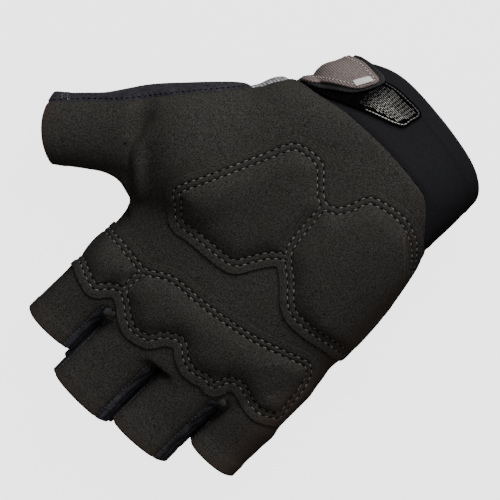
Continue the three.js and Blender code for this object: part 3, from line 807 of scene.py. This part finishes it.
# Finishes: sizes in millimetres, display colours, ribs as size, axis and depth, and fades as
# axis, start, end and far tone
looks = {
    "suede": {
        "dark": colour(20, 20, 19), "light": colour(66, 64, 61), "tint": colour(48, 44, 39),
        "grain": 0.5, "mottle": 7, "tinted": 0.3, "relief": 0.2, "rough": 1.0, "gloss": 0.1,
        "edge": colour(58, 46, 38), "edged": 0.5, "fades": [("X", -42, -53, colour(66, 55, 48))],
    },
    "wipeCloth": {
        "dark": colour(22, 22, 26), "light": colour(58, 57, 63), "grain": 0.7, "mottle": 5,
        "relief": 0.1, "rough": 1.0, "gloss": 0.1, "sheen": 0.04,
    },
    "neoprene": {
        "dark": colour(28, 28, 30), "light": colour(34, 34, 37), "grain": 0.8, "mottle": 9,
        "relief": 0.02, "rough": 0.9, "gloss": 0.08,
    },
    "fourchette": {
        "dark": colour(10, 10, 13), "light": colour(64, 64, 72), "grain": 0.5, "mottle": 4,
        "relief": 0.2, "rough": 0.9, "ribs": (1.9, "Z", 0.9),
    },
    "heather": {
        "dark": colour(62, 62, 66), "light": colour(206, 206, 208), "grain": 0.8, "mottle": 3,
        "tint": colour(60, 60, 64), "tinted": 0.3, "relief": 0.15, "rough": 0.95, "ribs": (1.15, "Y", 0.6),
    },
    "stretchKnit": {
        "dark": colour(20, 20, 22), "light": colour(34, 34, 38), "grain": 0.5, "mottle": 8,
        "relief": 0.12, "rough": 0.9, "ribs": (1.1, "X", 0.7),
    },
    "loops": {
        "dark": colour(2, 2, 3), "light": colour(15, 15, 16), "grain": 0.45, "mottle": 3,
        "relief": 0.25, "rough": 1.0, "gloss": 0.0,
    },
    "webbing": {
        "dark": colour(18, 19, 19), "light": colour(34, 35, 34), "grain": 0.6, "mottle": 4,
        "relief": 0.06, "rough": 0.6, "ribs": (0.9, "Y", 0.4),
    },
    "taupe": {
        "dark": colour(84, 74, 71), "light": colour(138, 127, 124), "grain": 0.5, "mottle": 6,
        "tint": colour(120, 108, 105), "relief": 0.12, "rough": 0.85, "ribs": (0.78, "Y", 0.75),
        "edge": colour(150, 134, 128), "edged": 0.8,
    },
    "film": {
        "dark": colour(188, 188, 182), "light": colour(206, 206, 201), "grain": 0.4, "mottle": 3,
        "relief": 0.02, "rough": 0.45, "gloss": 0.4,
    },
    "greyThread": {
        "dark": colour(70, 69, 68), "light": colour(142, 140, 136), "grain": 0.45, "mottle": 4,
        "relief": 0.05, "rough": 0.8, "gloss": 0.1,
    },
    # near-black dashes: between the stitches they are the needle holes with the shade in them painted, and
    # on the thumb seam they are its dark thread
    "holeShadeAndDarkThread": {
        "dark": colour(3, 3, 3), "light": colour(8, 8, 8), "grain": 0.5, "mottle": 5,
        "relief": 0.01, "rough": 1.0, "gloss": 0.0,
    },
    "rawEdge": {
        "dark": colour(68, 54, 45), "light": colour(114, 93, 79), "grain": 0.5, "mottle": 4,
        "relief": 0.02, "rough": 1.0, "gloss": 0.0,
    },
    "darkThread": {
        "dark": colour(50, 50, 54), "light": colour(104, 104, 108), "grain": 0.4, "mottle": 5,
        "relief": 0.05, "rough": 0.8,
    },
    "bandThread": {
        "dark": colour(30, 31, 31), "light": colour(66, 67, 66), "grain": 0.4, "mottle": 4,
        "relief": 0.03, "rough": 0.8,
    },
    "taupeThread": {
        "dark": colour(160, 146, 140), "light": colour(205, 192, 186), "grain": 0.4, "mottle": 5,
        "relief": 0.05, "rough": 0.7,
    },
    # the patch rows' bright colour is painted sheen on the patch's shiny black loops, and the two fades
    # paint where that sheen falls off; the patch border is silver-grey thread under the same fades
    "silverThreadAndSheen": {
        "dark": colour(150, 148, 142), "light": colour(226, 224, 216), "grain": 0.5, "mottle": 4,
        "relief": 0.03, "rough": 0.5, "gloss": 0.4,
        "fades": [("Y", -70, -80, colour(64, 64, 64)), ("X", 5, 11, colour(28, 28, 28))],
    },
}
finishes = {name: clothFinish(name, look) for name, look in looks.items()}


def finished(piece, finish, slot, *nodes):
    if finish:
        piece.data.materials.append(finishes[finish])
    if nodes:
        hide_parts(*nodes)
    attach(piece, "root")
    return piece


print("stage: cloth walls")
cloth = {"wall": 1.6, "seamBulge": 0.08, "hemBulge": 0.45, "wornHem": 3.5, "rings": (0.15, 0.5, 0.85)}
panelLooks = {
    "cuff_band": ("cuff", "neoprene", "smooth_neoprene"),
    "thumb_back": ("thumb_wipe_cloth", "wipeCloth", "wipe_cloth"),
    "side_trim": ("wrist_trim", "heather", "heather_knit"),
    "fourchette_index_middle": ("fourchette_index", "fourchette", "fourchette_knit"),
    "fourchette_middle_ring": ("fourchette_middle", "fourchette", "fourchette_knit"),
    "fourchette_ring_little": ("fourchette_ring", "fourchette", "fourchette_knit"),
    "back_panel": ("back_of_hand", "stretchKnit", "stretch_knit"),
    "palm_panel": ("palm_suede", "suede", "suede"),
}
for i, name in enumerate(panelNames):
    points, tris, normals, hem = packed(skinPoints, skinTris[panelOf == i], skinNormals, toHem)
    bulge = np.where(hem < mesh["onHem"], cloth["hemBulge"], cloth["seamBulge"])
    pieceName, finish, slot = panelLooks[name]
    edge = smoothStep(cloth["wornHem"], 0, hem)
    piece = shell(pieceName, points, tris, normals, -cloth["wall"], 0, bulge, cloth["rings"], edge)
    finished(piece, finish, slot, name)
    print(pieceName, len(piece.data.polygons))


# Padded overlays. The heel's outer pad wraps round the side of the hand, so the outlines are
# drawn with that side laid flat beside the palm.
overlays = {
    "sides": (-38, 38), "sideWidth": 0.5, "reach": 1.5, "lowest": 13.5,
    "gap": 0.1, "margin": 4.0, "flat": 0.75, "fill": 0.5,
    "rows": {"heel": 1.15, "knuckle": 1.0}, "channel": 0.4, "channelWidth": 0.5,
    "rim": 0.12, "rings": (0.2, 0.5, 0.8), "lineSteps": 6, "settleInside": 1,
    "rise": 2.6, "crown": 1.3, "softness": 3.0, "settle": 40, "steep": 1.1, "steepFrom": (-28, -35),
    "thinned": 0.15, "thinFrom": (37, 46), "outerThinned": 0.6, "outerThinFrom": (-41, -50),
    # where the outer pad turns down the side of the hand, seen from above
    "turn": ((-32.6, -44.5), (-47.5, -29.6)), "turnWidth": (-0.1, 0.8), "turnStart": (-0.12, 0),
    "turnSide": -28, "turnLineFrom": 0.02,
    "heelCentre": [
        (36.5, 3), (31.9, -7.4), (27.2, -17.9), (22.4, -28.6), (18.2, -37.6), (12.7, -39.9), (6.8, -40),
        (3.1, -37), (-1.2, -32.7), (-5.4, -29.7), (-5.9, -22.3), (-7.2, -11.7), (-9.2, -8.1), (-6.4, -6),
        (-3.7, -3.3), (-0.3, 1.8), (2.7, 6.8), (6.3, 8.4), (15.2, 9.4), (22.5, 10.1), (27.8, 10.7),
        (33.6, 5.9),
    ],
    "heelOuter": [
        (-8, -31.4), (-10.4, -33), (-12.6, -36.6), (-15.6, -43.6), (-22.6, -46.1), (-30, -46.8),
        (-35.6, -45), (-40, -42.4), (-48, -36), (-54, -25), (-56, -10), (-54.5, 0), (-47, 2.4),
        (-43.2, 2.8), (-37, 4.1), (-31.3, 5), (-25.5, 5), (-21.4, 2.9), (-16.2, -2.3), (-12.2, -5.4),
        (-9.2, -8.1), (-7.2, -11.7), (-5.9, -22.3), (-5.4, -29.7),
    ],
    "knuckleMain": [
        (24.6, 35), (24.4, 33), (22.1, 31.7), (16.8, 28.4), (11.4, 27.1), (0.4, 26.2), (-14.3, 23.7),
        (-23.2, 21.4), (-31.1, 18.6), (-39.3, 15.6), (-42.4, 15), (-45.4, 17.2), (-47.1, 22.3),
        (-47.4, 28.2), (-47.6, 35), (-45, 37.3), (-41.5, 39), (-37.8, 39), (-33.3, 37.7), (-29.8, 37.1),
        (-25.5, 38.9), (-23, 44.3), (-19.5, 44), (-16.4, 45.1), (-12.5, 45.7), (-8.8, 44.5), (-5.3, 41.8),
        (-2.4, 41), (0.1, 42.2), (3.2, 44.5), (5.3, 48.1), (7.9, 49.6), (12.5, 50.5), (16.8, 48.6),
        (20.3, 45.9), (24.2, 43.3), (25.1, 39.1),
    ],
    "knuckleIndex": [
        (25.1, 39.1), (24.6, 35), (24.6, 33.2), (27.2, 32.9), (31.9, 32.5), (37.1, 31.9), (43, 31.8),
        (49, 31.8), (55, 32.5), (60, 36), (60, 42), (55, 45.5), (49, 46), (43.5, 46.4), (39.5, 47.8),
        (37, 48.6), (34.5, 49.4), (32.7, 49.2), (30.4, 46.6), (27.7, 44.3), (24.4, 42.6),
    ],
}


def refined(points, tris):
    # each triangle becomes four
    _, code = edgesOf(points, tris)
    found, place = np.unique(code, return_inverse=True)
    ab, bc, ca = (place.reshape(-1, 3) + len(points)).T
    middles = (points[found // len(points)] + points[found % len(points)]) / 2
    a, b, c = tris.T
    corners = [(a, ab, ca), (ab, b, bc), (ca, bc, c), (ab, bc, ca)]
    return np.concatenate([points, middles]), np.concatenate([np.stack(t, 1) for t in corners])


def patchOf(field, reach, points, tris):
    # the part of a skin where a field is positive, finely meshed; reach is more than a face is wide
    near = field(points) > -reach
    points, tris = refined(*packed(points, tris[near[tris].all(1)]))
    rim = np.isin(np.arange(len(points)), openEdges(tris))
    points = smoothed(points, tris, mesh["patchSmooth"], rim)
    points, tris = cutAlong(points, tris, field)
    points, tris = packed(points, tris[faceSide(points, tris, field)])
    return points, tris, pointNormals(points, tris)


def edgeHeights(across):
    # the palm's height along a line from the wrist to the fingers, as places and heights
    near = np.abs(bodyPoints[:, 0] - across) < overlays["sideWidth"]
    near &= bodyPoints[:, 2] > overlays["lowest"]
    order = np.argsort(bodyPoints[near, 1])
    return bodyPoints[near][order][:, 1], bodyPoints[near][order][:, 2]


sideHeights = [(across, *edgeHeights(across)) for across in overlays["sides"]]


def laidFlat(points):
    # seen from above, with the sides of the hand turned up beside the palm
    flat = points[:, 0]
    for across, places, heights in sideHeights:
        beyond = (points[:, 0] - across) * np.sign(across)
        down = np.hypot(beyond, points[:, 2] - np.interp(points[:, 1], places, heights))
        flat = np.where(beyond > 0, across + np.sign(across) * down, flat)
    return np.column_stack([flat, points[:, 1]])


def contour(points, tris, normals, values, level):
    # the line on a surface where a value passes a level: its points, normals and edges
    f = values - level
    edges, code = edgesOf(points, tris)
    crossed = (f[edges[..., 0]] > 0) != (f[edges[..., 1]] > 0)
    found, place = np.unique(code[crossed], return_inverse=True)
    index = np.zeros(code.shape, np.int64)
    index[crossed] = place
    low, high = found // len(points), found % len(points)
    t = (f[low] / (f[low] - f[high]))[:, None]
    edges = index[crossed].reshape(-1, 2)
    return mix(points[low], points[high], t), mix(normals[low], normals[high], t), edges


def pastTurn(points):
    # how far a point lies beyond the line where the outer pad turns down, and the share along it
    start, end = np.array(overlays["turn"])
    length = np.linalg.norm(end - start)
    side = (end - start) / length
    reach = points[:, :2] - start
    past = side[0] * reach[:, 1] - side[1] * reach[:, 0]
    return np.where(points[:, 0] < overlays["turnSide"], past, -1), reach @ side / length


def kept(line, wanted):
    # the part of a contour between wanted points
    points, normals, edges = line
    return points, normals, edges[wanted[edges].all(1)]


def padHeight(depth, row, across):
    # the height of an overlay's face, by how far inside the middle of its double row it lies
    pressed = bell(np.abs(depth) - row, overlays["channelWidth"])
    inner = np.maximum(depth - row, 0)
    steep = smoothStep(*overlays["steepFrom"], across)
    softness = mix(overlays["softness"], overlays["steep"], steep)
    puff = overlays["rise"] * (1 - np.exp(-((inner / softness) ** overlays["crown"])))
    outer = smoothStep(*overlays["outerThinFrom"], across) * overlays["outerThinned"]
    thin = np.maximum(smoothStep(*overlays["thinFrom"], across), outer)
    puff = puff * mix(1, overlays["thinned"], thin)
    return overlays["flat"] - overlays["channel"] * pressed + puff


def overlay(outlines, row):
    # the palm below an overlay, the heights of its face, and how far inside each chamber a point lies
    closed = [smoothLine(overlays[name], True, overlays["lineSteps"]) for name in outlines]

    def depths(points):
        flat = laidFlat(points)
        return [insideBy(flat, line) for line in closed]

    def field(points):
        around = np.max(depths(points), 0) + overlays["margin"]
        return np.minimum(around, points[:, 2] - overlays["lowest"])

    points, tris, normals = patchOf(field, overlays["reach"], bodyPoints, bodyTris)
    inside = depths(points)
    depth = np.max(inside, 0)
    height = padHeight(depth, row, laidFlat(points)[:, 0])
    held = depth < row + overlays["settleInside"]
    height = smoothed(np.column_stack([height] * 3), tris, overlays["settle"], held)[:, 0]
    past, share = pastTurn(points)
    turned = smoothStep(*overlays["turnWidth"], past) * smoothStep(*overlays["turnStart"], share)
    height = mix(height, np.minimum(height, overlays["flat"]), turned)
    return points, tris, normals, height, inside


# Thread: stitches, beads of woven thread and needle holes along lines
def threadTree():
    tree = bpy.data.node_groups.new("thread", "GeometryNodeTree")
    socket = tree.interface.new_socket
    socket("Line", in_out="INPUT", socket_type="NodeSocketGeometry")
    for name in ("Pitch", "Length", "Width", "Height", "Lift", "Start", "Unevenness"):
        socket(name, in_out="INPUT", socket_type="NodeSocketFloat")
    socket("Finish", in_out="INPUT", socket_type="NodeSocketMaterial")
    socket("Thread", in_out="OUTPUT", socket_type="NodeSocketGeometry")
    add = nodeAdder(tree)
    given = add("NodeGroupInput").outputs
    curve = add("GeometryNodeMeshToCurve", {"Mesh": given["Line"]}).outputs[0]
    half = worked(add, "MULTIPLY", given["Pitch"], 0.5)
    spaced = add("GeometryNodeResampleCurve", {"Curve": curve, "Length": half}, mode="LENGTH").outputs[0]
    normal = add("GeometryNodeInputNamedAttribute", {"Name": "normal"}, data_type="FLOAT_VECTOR").outputs[0]
    tangent = add("GeometryNodeInputTangent").outputs[0]
    turn = add(
        "FunctionNodeAxesToRotation", {"Primary Axis": normal, "Secondary Axis": tangent},
        primary_axis="Z", secondary_axis="X",
    ).outputs[0]
    raised = add("ShaderNodeVectorMath", {0: normal, "Scale": given["Lift"]}, operation="SCALE").outputs[0]
    moved = add("GeometryNodeSetPosition", {"Geometry": spaced, "Offset": raised}).outputs[0]
    number = add("GeometryNodeInputIndex").outputs[0]
    # every second place along the line gets a stitch
    second = worked(add, "MODULO", worked(add, "ADD", number, given["Start"]), 2.0)
    loss = worked(add, "SUBTRACT", 1.0, given["Unevenness"])
    gain = worked(add, "ADD", 1.0, given["Unevenness"])
    low = add("ShaderNodeCombineXYZ", {0: loss, 1: loss, 2: loss}).outputs[0]
    high = add("ShaderNodeCombineXYZ", {0: gain, 1: gain, 2: gain}).outputs[0]
    size = add("FunctionNodeRandomValue", {0: low, 1: high, "Seed": 4}, data_type="FLOAT_VECTOR").outputs[0]
    ball = add("GeometryNodeMeshUVSphere", {"Segments": 8, "Rings": 6, "Radius": 0.5}).outputs["Mesh"]
    sizes = {i: given[name] for i, name in enumerate(("Length", "Width", "Height"))}
    shape = add("ShaderNodeCombineXYZ", sizes).outputs[0]
    stitch = add("GeometryNodeTransform", {"Geometry": ball, "Scale": shape}).outputs[0]
    placed = add(
        "GeometryNodeInstanceOnPoints",
        {"Points": moved, "Selection": second, "Instance": stitch, "Rotation": turn, "Scale": size},
    ).outputs[0]
    real = add("GeometryNodeRealizeInstances", {"Geometry": placed}).outputs[0]
    dressed = add("GeometryNodeSetMaterial", {"Geometry": real, "Material": given["Finish"]}).outputs[0]
    add("NodeGroupOutput", {"Thread": dressed})
    return tree


threads = threadTree()


def threadPiece(name, lines, size, finish, slot):
    # lines are points, normals and edges, as a contour gives them
    starts = np.cumsum([0] + [len(line[0]) for line in lines])
    points = np.concatenate([line[0] for line in lines])
    normals = np.concatenate([line[1] for line in lines])
    edges = np.concatenate([line[2] + start for line, start in zip(lines, starts)])
    data = bpy.data.meshes.new(name)
    data.from_pydata((points * mm).tolist(), edges.tolist(), [])
    data.attributes.new("normal", "FLOAT_VECTOR", "POINT").data.foreach_set("vector", normals.ravel())
    guide = bpy.data.objects.new("guide", data)
    bpy.context.scene.collection.objects.link(guide)
    maker = guide.modifiers.new("thread", "NODES")
    maker.node_group = threads
    values = {key: value * mm for key, value in size.items()}
    values |= {"Start": size.get("Start", 0), "Unevenness": size.get("Unevenness", 0.12)}
    for item in threads.interface.items_tree:
        if item.in_out == "INPUT" and item.name in values:
            maker[item.identifier] = float(values[item.name])
        elif item.name == "Finish":
            maker[item.identifier] = finishes[finish]
    shown = guide.evaluated_get(bpy.context.evaluated_depsgraph_get())
    made = bpy.data.meshes.new_from_object(shown)
    made.name = name
    bpy.data.objects.remove(guide)
    made.shade_smooth()
    piece = bpy.data.objects.new(name, made)
    bpy.context.scene.collection.objects.link(piece)
    print(name, len(made.polygons))
    return finished(piece, None, slot)


print("stage: overlays")
stitches = {
    "thread": {"Pitch": 2.97, "Length": 1.5, "Width": 0.47, "Height": 0.5, "Lift": 0.0, "Start": 0},
    # the needle holes: near-black dashes between the stitches, painting the shade in the holes
    "hole": {"Pitch": 2.97, "Length": 1.3, "Width": 0.55, "Height": 0.24, "Lift": 0.0, "Start": 1},
}
padNames = {
    "heel": ("heel_pads", "heel_overlay", ("heelCentre", "heelOuter")),
    "knuckle": ("knuckle_pads", "knuckle_overlay", ("knuckleMain", "knuckleIndex")),
}
rawEdges = []
for key, (name, node, outlines) in padNames.items():
    row = overlays["rows"][key]
    points, tris, normals, height, inside = overlay(outlines, row)
    edge = np.zeros(len(points))
    piece = shell(
        name, points, tris, normals, overlays["gap"], height, overlays["rim"], overlays["rings"], edge
    )
    finished(piece, "suede", "suede", node)
    print(name, len(piece.data.polygons))
    top = points + normals * height[:, None]
    topNormals = pointNormals(top, tris)
    lines = [contour(top, tris, topNormals, one, row) for one in inside]
    lines.append(contour(top, tris, topNormals, np.max(inside, 0), -row))
    if key == "heel":
        line = contour(top, tris, topNormals, pastTurn(top)[0], 0)
        rawEdges.append(kept(line, pastTurn(line[0])[1] > overlays["turnLineFrom"]))
    threadPiece(f"{key}_stitches", lines, stitches["thread"], "greyThread", "heather_knit")
    threadPiece(f"{key}_needle_holes", lines, stitches["hole"], "holeShadeAndDarkThread", "black_webbing")


def topLines(spots):
    # lines drawn from above onto the glove's skin: their points, normals and edges
    tree = KDTree(len(skinPoints))
    for i, point in enumerate(skinPoints):
        if skinNormals[i, 2] > seams["facesUp"]:
            tree.insert((point[0], point[1], 0), i)
    tree.balance()
    drawn = []
    for line in spots:
        near = [tree.find((x, y, 0))[1] for x, y in line]
        points = np.column_stack([np.array(line), skinPoints[near, 2]])
        steps = np.arange(len(line) - 1)
        drawn.append((points, skinNormals[near], np.stack([steps, steps + 1], 1)))
    return drawn


def skinContour(field, level, height):
    # the line beside a seam where its field has a level, as far as it lies above a height
    line = contour(skinPoints, skinTris, skinNormals, field(skinPoints), level)
    return kept(line, line[0][:, 2] > height)


print("stage: seams")
seams = {
    # how far each thread lies inside its seam, or outside where below 0, and the height it stays above
    "navyLine": (0.5, 14), "rawLine": (-0.2, 14), "fourchetteLine": (-0.25, 7),
    "rawSide": -27, "facesUp": 0.1,
    "navy": {"Pitch": 2.1, "Length": 1.1, "Width": 0.5, "Height": 0.3, "Lift": 0.0, "Start": 1},
    "fourchette": {"Pitch": 1.5, "Length": 1.15, "Width": 0.26, "Height": 0.26, "Lift": 0.03},
    "rawEdge": {"Pitch": 1.0, "Length": 1.2, "Width": 0.16, "Height": 0.2},
    "tack": {"Pitch": 1.4, "Length": 1.3, "Width": 0.35, "Height": 0.35, "Lift": 0.1, "Start": 1},
    # the two tacks at the tip of the thumb, each from one end to the other
    "tacks": [((91.4, 8.5), (90.2, 9.7)), ((89.9, 7.0), (88.7, 8.2))],
}
navyLine = skinContour(thumbField, *seams["navyLine"])
threadPiece("thumb_seam_stitches", [navyLine], seams["navy"], "holeShadeAndDarkThread", "wipe_cloth")
threadPiece("thumb_tacks", topLines(seams["tacks"]), seams["tack"], "greyThread", "heather_knit")
cuffLine = skinContour(cuffField, *seams["rawLine"])
rawEdges.append(kept(cuffLine, cuffLine[0][:, 0] < seams["rawSide"]))
threadPiece("suede_raw_edges", rawEdges, seams["rawEdge"] | {"Start": 0}, "rawEdge", "suede")
threadPiece("suede_raw_edge_ends", rawEdges, seams["rawEdge"] | {"Start": 1}, "rawEdge", "suede")
for name, field in zones:
    if name.startswith("fourchette"):
        line = skinContour(field, *seams["fourchetteLine"])
        threadPiece(f"{name}_thread", [line], seams["fourchette"], "darkThread", "heather_knit")

print("stage: strap")
strap = {
    "start": -75.2, "width": 17.5, "turn": 23.5, "backReach": 46, "slope": 0.1, "split": 20.2,
    "span": (-0.06, 0.3), "stations": 50, "reach": 5, "widest": 0.385,
    "wider": ((0, 0.06, 0.09, 0.12, 0.15), (0.002, 0.009, 0.023, 0.013, 0.008)),
    "flare": 2.8, "flareFrom": 6, "rim": 0.15, "rings": (0.2, 0.5, 0.8), "outside": -9.0,
    # how high above the wrist's own tube each layer starts and ends
    "patch": (0.3, 1.1), "band": (1.3, 2.3), "tab": (2.45, 3.5), "label": (3.6, 4.0),
    "patchOutline": [
        (35, -55.6), (26, -58.4), (14.8, -62.9), (6.7, -66.3), (-4.4, -70.7), (-6, -74.8), (-6.5, -79.4),
        (0.5, -79.9), (7.2, -79.5), (15, -77.3), (24, -74.6), (33, -69.5), (36, -60.6),
    ],
    "bandOutline": [
        (46.5, -55.2), (37.5, -55.2), (33.6, -56.6), (26.7, -60.3), (18.9, -65.5), (15.5, -68.9),
        (12.4, -74.5), (11.6, -78.8), (18, -79.6), (24, -78.6), (30, -76), (46.5, -75.5),
    ],
    "tabOutline": [
        (46.5, -55.2), (37.5, -55.2), (33.6, -57.6), (25.6, -63.9), (17.3, -69.1), (14.8, -72.7),
        (13.2, -76.9), (17.6, -77.7), (22.8, -77.7), (30, -75.5), (46.5, -75.5),
    ],
    "labelOutline": [(19.9, -70.3), (16.7, -75.7), (14.5, -75.6), (17.6, -69.8)],
}


def triangles(faces):
    # each face as a fan of triangles
    return np.array([(face[0], face[i], face[i + 1]) for face in faces for i in range(1, len(face) - 1)])


# The strap lies on the wrist's own tube, a little wider than the hand
strapStations = np.linspace(*strap["span"], strap["stations"])
tubePoints, tubeFaces = closedTube(handRings(strapStations, strap["widest"], strap["wider"]))
tubeTris = triangles(tubeFaces)
tubeNormals = pointNormals(tubePoints, tubeTris)


def strapField(layer, runs, steps):
    # the drawn outline on the palm side, and below it the band that runs round to the back
    outline = smoothLine(strap[f"{layer}Outline"], True, steps)

    def field(points):
        x, y, z = points.T
        face = insideBy(points[:, :2], outline)
        drawn = strap["start"] + np.maximum(0, strap["turn"] - x) * strap["slope"]
        end = x - (strap["turn"] - strap["backReach"])
        wide = strap["width"] + strap["flare"] * smoothStep(strap["flareFrom"], strap["split"], z) * (x > 0)
        run = np.minimum(np.minimum(y - drawn, drawn + wide - y), end)
        return np.where(z > strap["split"], face, run if runs else strap["outside"])

    return field


strapTops = {}
# layer, whether it runs round to the back, steps to each outline point, finish, slot, node
strapPieces = {
    "catch_patch": ("patch", False, 3, "loops", "catch_weave", "loop_patch"),
    "strap_band": ("band", True, 3, "webbing", "black_webbing", "closure_strap"),
    "strap_tab_face": ("tab", True, 3, "taupe", "taupe_rib", "strap_tab"),
    "reflective_patch": ("label", False, 1, "film", "reflective_film", "reflective_label"),
}
for name, (layer, runs, steps, finish, slot, node) in strapPieces.items():
    field = strapField(layer, runs, steps)
    low, high = strap[layer]
    points, tris, normals = patchOf(field, strap["reach"], tubePoints + tubeNormals * high, tubeTris)
    strapTops[layer] = (points, tris, normals, field(points))
    edge = np.zeros(len(points))
    piece = shell(name, points, tris, normals, low - high, 0, strap["rim"], strap["rings"], edge)
    finished(piece, finish, slot, node)
    print(name, len(piece.data.polygons))

print("stage: strap threads")
strapThreads = {
    # how far inside its layer's edge each line of stitches runs
    "bandEdge": 0.6, "tabEdge": 1.15, "patchEdge": 0.7,
    "band": {"Pitch": 1.2, "Length": 1.0, "Width": 0.3, "Height": 0.25, "Lift": 0.02},
    "tab": {"Pitch": 1.64, "Length": 1.1, "Width": 0.42, "Height": 0.4, "Lift": 0.03, "Start": 0},
    # near-black dashes between the tab's stitches, painting the shade in their needle holes
    "tabHole": {"Pitch": 1.64, "Length": 0.5, "Width": 0.3, "Height": 0.2, "Lift": 0.0, "Start": 1},
    "border": {"Pitch": 1.25, "Length": 1.2, "Width": 0.42, "Height": 0.42, "Lift": 0.12, "Start": 0},
    "borderTo": (12, -66),
    "rowSpan": (-82, -60), "rowStep": 0.6, "rowInset": 1.5, "rowEnd": 12.5,
    "row": {"Pitch": 1.5, "Length": 1.5, "Width": 0.27, "Height": 0.3, "Lift": 0.1, "Unevenness": 0.3},
}

# The catch patch is woven in rows across it, every other one started half a thread later
# The rows' bright colour paints the sheen on the patch's shiny black loops, darkening towards its ends by
# painted falloff.
points, tris, normals, inside = strapTops["patch"]
inside = np.where(points[:, 0] < strapThreads["rowEnd"], inside, 0)
inner = tris[inside[tris].min(1) > strapThreads["rowInset"]]
wovenRows = [[], []]
for i, place in enumerate(np.arange(*strapThreads["rowSpan"], strapThreads["rowStep"])):
    line = contour(points, inner, normals, points[:, 1], place)
    if len(line[0]) > 2:
        wovenRows[i % 2].append(line)
for start, lines in enumerate(wovenRows):
    size = strapThreads["row"] | {"Start": start}
    threadPiece(f"patch_threads_{start + 1}", lines, size, "silverThreadAndSheen", "reflective_film")
patchLine = contour(*strapTops["patch"], strapThreads["patchEdge"])
borderTo = strapThreads["borderTo"]
border = kept(patchLine, (patchLine[0][:, 0] < borderTo[0]) & (patchLine[0][:, 1] < borderTo[1]))
threadPiece("patch_border", [border], strapThreads["border"], "silverThreadAndSheen", "reflective_film")

bandLine = contour(*strapTops["band"], strapThreads["bandEdge"])
threadPiece("band_stitches", [bandLine], strapThreads["band"], "bandThread", "black_webbing")
tabLine = contour(*strapTops["tab"], strapThreads["tabEdge"])
threadPiece("tab_stitches", [tabLine], strapThreads["tab"], "taupeThread", "taupe_rib")
threadPiece("tab_needle_holes", [tabLine], strapThreads["tabHole"], "holeShadeAndDarkThread", "black_webbing")

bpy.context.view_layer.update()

print("stage: camera and light")
# The photo's camera looks straight down, and its picture is 183 mm wide
shot = {"wide": 183, "lens": 1500, "middle": (2.6, 0, 15), "sees": 20}
camera = bpy.data.cameras.new("camera")
camera.lens = shot["lens"]
camera.clip_end = shot["sees"]
view = bpy.data.objects.new("camera", camera)
bpy.context.scene.collection.objects.link(view)
bpy.context.scene.camera = view
distance = shot["wide"] * shot["lens"] / camera.sensor_width
right, up = Vector((-1, -1, 0)).normalized(), Vector((1, -1, 0)).normalized()
view.matrix_world = Matrix((
    (right.x, up.x, 0, shot["middle"][0] * mm),
    (right.y, up.y, 0, shot["middle"][1] * mm),
    (0, 0, 1, (shot["middle"][2] + distance) * mm),
    (0, 0, 0, 1),
))


def plainFinish(name, tone, glow):
    # one even tone that glows white
    finish = bpy.data.materials.new(name)
    finish.use_nodes = True
    shader = finish.node_tree.nodes["Principled BSDF"]
    shader.inputs["Base Color"].default_value = tone
    shader.inputs["Roughness"].default_value = 1
    shader.inputs["Specular IOR Level"].default_value = 0
    shader.inputs["Emission Color"].default_value = (1, 1, 1, 1)
    shader.inputs["Emission Strength"].default_value = glow
    return finish


# A glowing white floor keeps the shadow faint. It lights nothing itself, and the dark board
# below it keeps the sky's light from the underside.
floors = {"floor": (0, (0.2, 0.2, 0.2, 1), 2.95), "underlay": (-2, (0.03, 0.03, 0.03, 1), 0)}
for name, (height, tone, glow) in floors.items():
    bpy.ops.mesh.primitive_plane_add(size=6, location=(0, 0, height * mm))
    board = bpy.context.object
    board.name = name
    board.data.materials.append(plainFinish(name, tone, glow))
    if name == "floor":
        board.visible_diffuse = False
        board.visible_glossy = False

lighting = {"spot": (0.18, -0.48, 0.44), "size": 0.45, "power": 5.6, "sky": 0.31}  # spot and size in metres
light = bpy.data.lights.new("key", "AREA")
light.size = lighting["size"]
light.energy = lighting["power"]
lamp = bpy.data.objects.new("key", light)
bpy.context.scene.collection.objects.link(lamp)
lamp.location = lighting["spot"]
lamp.rotation_euler = Vector(lighting["spot"]).to_track_quat("Z", "Y").to_euler()
sky = bpy.data.worlds.new("sky")
bpy.context.scene.world = sky
sky.use_nodes = True
sky.node_tree.nodes["Background"].inputs["Color"].default_value = (1, 1, 1, 1)
sky.node_tree.nodes["Background"].inputs["Strength"].default_value = lighting["sky"]
